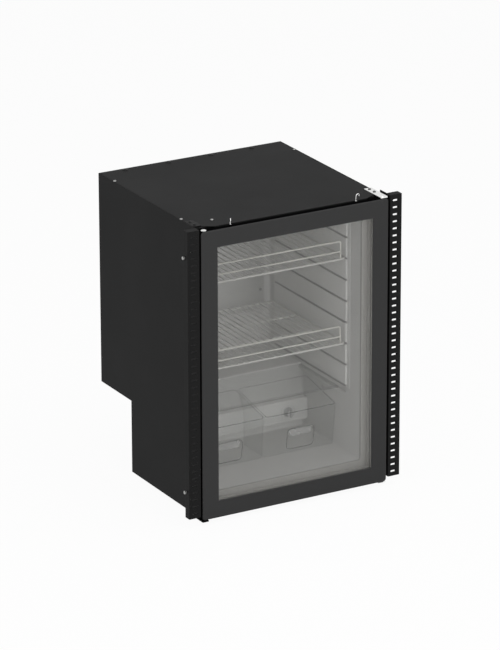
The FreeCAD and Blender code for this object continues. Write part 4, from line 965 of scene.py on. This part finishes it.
shellShape = dict(
    outline=[(0, 0), (30, 0.8), (46, 4), (56, 12), (61, 26), (62, 40), (62, 62), (62.5, 63.5), (65, 64),
    (65, 70), (62.5, 70.5), (61.5, 72), (61.5, 88), (60, 102), (54, 115), (44, 122.5), (28, 127), (0, 128)],
    radius=0.065, foot=0.003, footHalf=0.054, footCorner=0.014, boxHalf=0.017, boxLow=0.073, boxHigh=0.101,
    boxLid=0.010, boxStep=0.0014, boxEdge=0.003, boxLap=0.001, footEdge=0.0008, grommet=[(3.1, 0), (9, 0),
    (9, 2.6), (7.2, 4), (6.8, 6), (7.2, 8), (9, 9.4), (9, 12), (3.1, 12)])


def compressor():
    s = shellShape
    low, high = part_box("compressor")
    centre = Vector(((low.x + high.x) / 2, low.y + s["radius"], low.z + s["foot"]))
    build = bmesh.new()
    verts = block(build, (low.x, centre.y - s["footHalf"], low.z),
                  (high.x, centre.y + s["footHalf"], centre.z))
    roundOff(build, uprights(verts, 2), s["footCorner"], 5)
    topEdges = [e for e in build.edges if all(v.co.z > centre.z - touching for v in e.verts)]
    roundOff(build, topEdges, s["footEdge"], 2)
    turned(build, inMetres(s["outline"]), centre, (0, 0, 1), 64)
    bottom, top, lid = low.z + s["boxLow"], low.z + s["boxHigh"], high.y - s["boxLid"]
    half, step = s["boxHalf"], s["boxStep"]
    softBlock(build, (centre.x - half + step, centre.y, bottom + step),
              (centre.x + half - step, lid + s["boxLap"], top - step), s["boxEdge"])
    softBlock(build, (centre.x - half, lid, bottom), (centre.x + half, high.y, top), s["boxEdge"])
    settle(build, "compressor_shell", "shellEnamel", "compressor")
    rubbers = bmesh.new()
    for low, high in looseBoxes("compressor_grommets"):
        middle = (low + high) / 2
        turned(rubbers, inMetres(s["grommet"]), (middle.x, middle.y, low.z), (0, 0, 1), 32, True)
    settle(rubbers, "shell_grommets", "sealRubber", "compressor_grommets")


coilShape = dict(
    fin=0.0005, finCorner=0.003, pitch=0.0042, plate=0.0014, plateEdge=0.0005, ends=0.013, tube=0.004, rows=4,
    bend=0.0084, drier=[(0, 0), (2.6, 0), (2.6, 4), (5.4, 7), (7.4, 10), (8, 14), (8, 56), (7.4, 60),
    (5.4, 63), (2.6, 66), (2.6, 70), (0, 70)])


def condenser():
    # Fins and two end plates on one tube that runs to and fro eight times
    s = coilShape
    low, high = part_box("condenser")
    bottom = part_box("fan_shroud")[0].z
    left, right = low.x + s["ends"], high.x - s["ends"]
    build = bmesh.new()
    for x in (left, right):
        softBlock(build, (x - s["plate"] / 2, low.y, low.z), (x + s["plate"] / 2, high.y, high.z),
                  s["plateEdge"], 1)
    count = int((right - left) / s["pitch"])
    for i in range(1, count):
        x = left + (right - left) * i / count
        verts = block(build, (x - s["fin"] / 2, low.y, bottom), (x + s["fin"] / 2, high.y, high.z))
        roundOff(build, uprights(verts, 0), s["finCorner"], 3)
    settle(build, "condenser_fins", "plateAluminium", "condenser")
    quarter = (high.y - low.y) / 4
    near, far = low.y + quarter, high.y - quarter
    levels = [bottom + (high.z - bottom) * (0.5 + i) / s["rows"] for i in range(s["rows"])]
    runs = [(far, 3), (near, 3), (near, 2), (far, 2), (far, 1), (near, 1), (far, 0), (near, 0)]
    points = [(high.x, far, levels[3])]
    for i, (y, level) in enumerate(runs):
        end = low.x + s["tube"] if i % 2 == 0 else high.x - s["tube"]
        if i > 0:
            points.append((low.x + high.x - end, y, levels[level]))
        points.append((end, y, levels[level]))
    points[-1] = (high.x, near, levels[0])
    coil = bmesh.new()
    drawWire(coil, points, s["tube"], s["bend"], 14, 8)
    settle(coil, "condenser_coil", "drawnCopper", "condenser", False)
    low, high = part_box("filter_drier")
    drier = bmesh.new()
    turned(drier, inMetres(s["drier"]),
           ((low.x + high.x) / 2, (low.y + high.y) / 2, low.z), (0, 0, 1), 40)
    settle(drier, "drier_can", "drawnCopper", "filter_drier")


fanShape = dict(
    hub=[(0, 0), (15, 0), (18.4, 0.8), (20, 3.2), (20, 13.4), (19.4, 14), (2.3, 14), (2.3, 5), (0, 5)],
    blades=7, reach=(0.0185, 0.0545), chord=(0.019, 0.028), pitch=(34, 24), sweep=0.009, camber=0.003,
    thick=0.0014, grid=8)


def fanRotor():
    s = fanShape
    low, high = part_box("fan_rotor")
    shroudLow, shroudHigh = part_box("fan_shroud")
    centre = (shroudLow + shroudHigh) / 2
    centre.y = low.y
    build = bmesh.new()
    turned(build, inMetres(s["hub"]), centre, (0, 1, 0), 48)
    for i in range(s["blades"]):
        grid = bmesh.ops.create_grid(build, x_segments=s["grid"], y_segments=s["grid"], size=0.5)["verts"]
        for vert in grid:
            out, along = vert.co.x + 0.5, vert.co.y
            radius, chord, pitch = (s[key][0] + (s[key][1] - s[key][0]) * out
                                    for key in ("reach", "chord", "pitch"))
            pitch = math.radians(pitch)
            across = along * chord * math.cos(pitch) + s["sweep"] * out * out
            deep = along * chord * math.sin(pitch) + s["camber"] * (0.125 - along * along)
            turn = across / radius + 2 * math.pi * i / s["blades"]
            place = (radius * math.cos(turn), (high.y - low.y) / 2 + deep, radius * math.sin(turn))
            vert.co = Vector(place) + centre
        faces = list({f for v in grid for f in v.link_faces})
        bmesh.ops.recalc_face_normals(build, faces=faces)
        bmesh.ops.solidify(build, geom=faces, thickness=-s["thick"])
    settle(build, "fan_wheel", "darkPlastic", "fan_rotor")


shroudShape = dict(
    loops=[(0.985, 0), (1, 1), (1, 3.5), (61.2, 4), (61.2, 22), (1, 22.5), (1, 25), (0.985, 26), (60, 25.9),
    (58, 23), (58, 6), (59.2, 2.5), (61.5, 0.1)], sides=64, motorAt=18, motor=[(0, 0), (19, 0), (20, 0.8),
    (20, 6.8), (19, 8), (7, 8), (6.4, 7.2), (0, 7.2)], axle=[(0, -3), (2, -3), (2, 1), (0, 1)], square=8,
    spoke=0.0035, spokeIn=0.018, spokeOut=0.060, spokeGap=0.0004, spokeEdge=0.0012, screw=(0.0625, 0.0585),
    screwHead=0.0038, screwRise=0.0021, screwSink=0.0022, screwLong=0.004)


def fanShroud():
    # Two square flanges on a round duct; the motor hangs on four spokes
    s = shroudShape
    low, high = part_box("fan_shroud")
    centre, half = (low + high) / 2, (high - low) / 2
    centre.y = low.y
    build = bmesh.new()
    loops = []
    for size, y in s["loops"]:
        # Sizes up to one are shares of the square; the others are radii
        verts = bmesh.ops.create_circle(build, cap_ends=False, segments=s["sides"], radius=1,
                                        matrix=Matrix.Rotation(math.pi / 2, 4, "X"))["verts"]
        for vert in verts:
            a, b = vert.co.x, vert.co.z
            if size > 1:
                a, b = a * size / 1000, b * size / 1000
            else:
                reach = (a ** s["square"] + b ** s["square"]) ** (1 / s["square"])
                a, b = a / reach * half.x * size, b / reach * half.z * size
            vert.co = centre + Vector((a, y / 1000, b))
        loops.append(edgesOf(verts))
    bridgeAll(build, loops)
    motor = s["motorAt"] / 1000
    for part, steps in (("motor", 40), ("axle", 20)):
        turned(build, inMetres(s[part]), centre + Vector((0, motor, 0)), (0, 1, 0), steps)
    for i in range(4):
        before = set(build.verts)
        softBlock(build, (s["spokeIn"], motor, -s["spoke"]),
                  (s["spokeOut"], high.y - low.y - s["spokeGap"], s["spoke"]), s["spokeEdge"])
        fresh = [v for v in build.verts if v not in before]
        bmesh.ops.rotate(build, cent=(0, 0, 0), matrix=Matrix.Rotation(math.pi / 2 * i, 3, "Y"), verts=fresh)
        bmesh.ops.translate(build, vec=centre, verts=fresh)
    settle(build, "fan_duct", "darkPlastic", "fan_shroud")
    screws = bmesh.new()
    for i in (-1, 1):
        for j in (-1, 1):
            seat = (centre.x + i * s["screw"][0], high.y - s["screwSink"], centre.z + j * s["screw"][1])
            panScrew(screws, seat, (0, 1, 0), s["screwHead"], s["screwRise"], s["screwLong"])
    settle(screws, "fan_fixings", "zincSteel", "fan_shroud", False)


boxShape = dict(
    lid=0.009, step=0.0012, edge=0.0022, head=0.0036, sink=0.0024, screwAt=0.034, screwLong=0.004, lap=0.001)


def controlBox():
    s = boxShape
    low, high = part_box("control_box")
    face = high.y - s["sink"]
    middle = (low + high) / 2
    build = bmesh.new()
    step = Vector((s["step"], 0, s["step"]))
    softBlock(build, low + step, Vector((high.x, face - s["lid"] + s["lap"], high.z)) - step, s["edge"])
    softBlock(build, (low.x, face - s["lid"], low.z), (high.x, face, high.z), s["edge"])
    settle(build, "relay_box", "darkPlastic", "control_box")
    screws = bmesh.new()
    for z in (-s["screwAt"], s["screwAt"]):
        seat = (middle.x, face, middle.z + z)
        panScrew(screws, seat, (0, 1, 0), s["head"], screwShape["rise"], s["screwLong"])
    settle(screws, "relay_fixings", "zincSteel", "control_box", False)


inletShape = dict(
    outline=[(4.5, 0), (11, 0), (11, 2.6), (10.2, 4), (7.4, 4), (7, 4.6), (7, 6.6), (6.4, 7), (6.4, 8),
    (7, 8.4), (7, 9.6), (6.4, 10), (6.4, 11), (7, 11.4), (7, 12.8), (6.2, 14), (4.5, 14)])


def cableInlet():
    low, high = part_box("cable_inlet")
    build = bmesh.new()
    turned(build, inMetres(inletShape["outline"]),
           ((low.x + high.x) / 2, low.y, (low.z + high.z) / 2), (0, 1, 0), 40, True)
    settle(build, "cord_inlet", "darkPlastic", "cable_inlet")


rearShape = dict(
    border=0.028, slope=0.002, deep=0.0012, sink=0.0002, rivets=6, rivetIn=0.012, rivet=[(0, 0), (3.2, 0),
    (3.2, 0.4), (2.7, 0.9), (1.4, 1.2), (0, 1.2)], cap=[(0, 0), (19, 0), (19, 0.6), (18.2, 1.1), (13, 1.2),
    (12.2, 0.8), (0, 0.8)], capAt=(0.13, 0.11))


def rearPanel():
    s = rearShape
    low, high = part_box("rear_panel")
    build = bmesh.new()
    block(build, low, high)
    face = [f for f in build.faces if f.normal.y > 0.9]
    sink(build, face, s["border"])
    sink(build, face, s["slope"], s["deep"])
    settle(build, "rear_skin", "casingCoat", "rear_panel", sharp=20)
    # Rivets along the field's sides and caps in the two holes that the foam was filled through
    rivets, caps = bmesh.new(), bmesh.new()
    inset = s["border"] + s["slope"] + s["rivetIn"]
    seat, pitch = high.y - s["deep"] - s["sink"], (high.z - low.z - inset * 2) / (s["rivets"] - 1)
    for x, sign in ((low.x + inset, -1), (high.x - inset, 1)):
        for i in range(s["rivets"]):
            turned(rivets, inMetres(s["rivet"]), (x, seat, low.z + inset + pitch * i), (0, 1, 0), 20)
        capAt = (s["capAt"][0] * sign, seat, low.z + s["capAt"][1])
        turned(caps, inMetres(s["cap"]), capAt, (0, 1, 0), 48)
    settle(rivets, "rear_rivets", "blackZinc", "rear_panel", False)
    settle(caps, "foam_caps", "darkPlastic", "rear_panel", False)


innerLiner()
frontRing()
doorBack()
for level in ("upper", "lower"):
    wireShelf(level)
for side in ("left", "right"):
    crisper(side)
crisperCover()
shelfRack("left", -1)
shelfRack("right", 1)
controlPanel()
thermostatKnob()
screwRows = [("top_screws", "seam_screws", "zincSteel", 2, 0.4),
             ("hinge_screws", "hinge_fixings", "greySteel", 2, 0.4),
             ("black_screws", "dark_fixings", "blackZinc", 2, 0.4),
             ("strip_screws", "strip_fixings", "zincSteel", 0, 0),
             ("evaporator_screws", "plate_fixings", "zincSteel", 1, 1)]
for row in screwRows:
    screwSet(*row)
doorGasket()
holePlug()
footSet()
compressor()
condenser()
fanRotor()
fanShroud()
controlBox()
cableInlet()
rearPanel()
print("pieces modelled")

# Floor, light and camera

studio = dict(floorSize=14, floorColour=(0.88, 0.88, 0.88), floorGlow=0.95, floorDrop=0.0005, sky=0.46)
softBoxes = {
    "frontBox": dict(place=(0.0, -3.8, 1.6), target=(0, 0, 0.4), size=(2.5, 2.0), power=40),
    "topBox": dict(place=(0.3, -0.6, 3.6), target=(0, 0, 0.7), size=(2.6, 2.6), power=45),
    "leftBox": dict(place=(-3.4, -1.4, 1.5), target=(0, 0, 0.4), size=(2.0, 2.0), power=28),
}


def seenRays(tree):
    # One for rays that show the surroundings as they are, nought for rays that light the part
    path = tree.nodes.new("ShaderNodeLightPath")
    camera, glossy, through = (Wire(tree, path.outputs["Is " + kind + " Ray"])
                               for kind in ("Camera", "Glossy", "Transmission"))
    return camera + glossy + through


def studioFloor():
    f = Finish("studioFloor")
    plain = f.add("ShaderNodeBsdfDiffuse", None, {"Color": (*studio["floorColour"], 1)})
    glow = f.add("ShaderNodeEmission", None, {"Color": (1, 1, 1, 1), "Strength": 1.0})
    f.veiled(seenRays(f.tree) * studio["floorGlow"], plain, glow)
    build = bmesh.new()
    bmesh.ops.create_grid(build, x_segments=1, y_segments=1, size=studio["floorSize"])
    bmesh.ops.translate(build, verts=build.verts, vec=(0, 0, -studio["floorDrop"]))
    mesh = bpy.data.meshes.new("studio_floor")
    build.to_mesh(mesh)
    build.free()
    mesh.materials.append(f.material)
    linked("studio_floor", mesh)


def studioSky():
    world = bpy.data.worlds.new("studio_sky")
    bpy.context.scene.world = world
    world.use_nodes = True
    tree = world.node_tree
    tree.nodes.clear()
    strength = studio["sky"] + (seenRays(tree) > 0.5) * (1 - studio["sky"])
    back = tree.nodes.new("ShaderNodeBackground")
    tree.links.new(strength.socket, back.inputs["Strength"])
    end = tree.nodes.new("ShaderNodeOutputWorld")
    tree.links.new(back.outputs[0], end.inputs["Surface"])


def softBox(name, place, target, size, power):
    light = bpy.data.lights.new(name, "AREA")
    light.shape = "RECTANGLE"
    light.size, light.size_y = size
    light.energy = power
    lamp = linked(name, light)
    lamp.location = place
    lamp.rotation_euler = (Vector(target) - Vector(place)).to_track_quat("-Z", "Y").to_euler()


studioFloor()
studioSky()
for name, setting in softBoxes.items():
    softBox(name, **setting)

shot = dict(
    aim=(-0.12908, -0.2645, 0.49942), away=10.908, ahead=(0.46386, 0.81757, -0.34120), roll=-0.14,
    lens=249.11, sensor=36, farthest=100)


def photoCamera():
    ahead = Vector(shot["ahead"]).normalized()
    side = ahead.cross(Vector((0, 0, 1))).normalized()
    up = side.cross(ahead)
    turn = Matrix.Rotation(math.radians(-shot["roll"]), 3, ahead)
    side, up = turn @ side, turn @ up
    camera = bpy.data.cameras.new("photoCamera")
    camera.sensor_fit = "VERTICAL"
    camera.sensor_height = shot["sensor"]
    camera.lens = shot["lens"]
    camera.clip_end = shot["farthest"]
    eye = linked("photoCamera", camera)
    basis = Matrix((side, up, -ahead)).transposed().to_4x4()
    eye.matrix_world = Matrix.Translation(Vector(shot["aim"]) - ahead * shot["away"]) @ basis
    bpy.context.scene.camera = eye


photoCamera()
bpy.context.scene.view_settings.view_transform = "Standard"
bpy.context.scene.cycles.transparent_max_bounces = 32  # two panes, a lid and two tubs lie behind each other
print("studio and camera set")
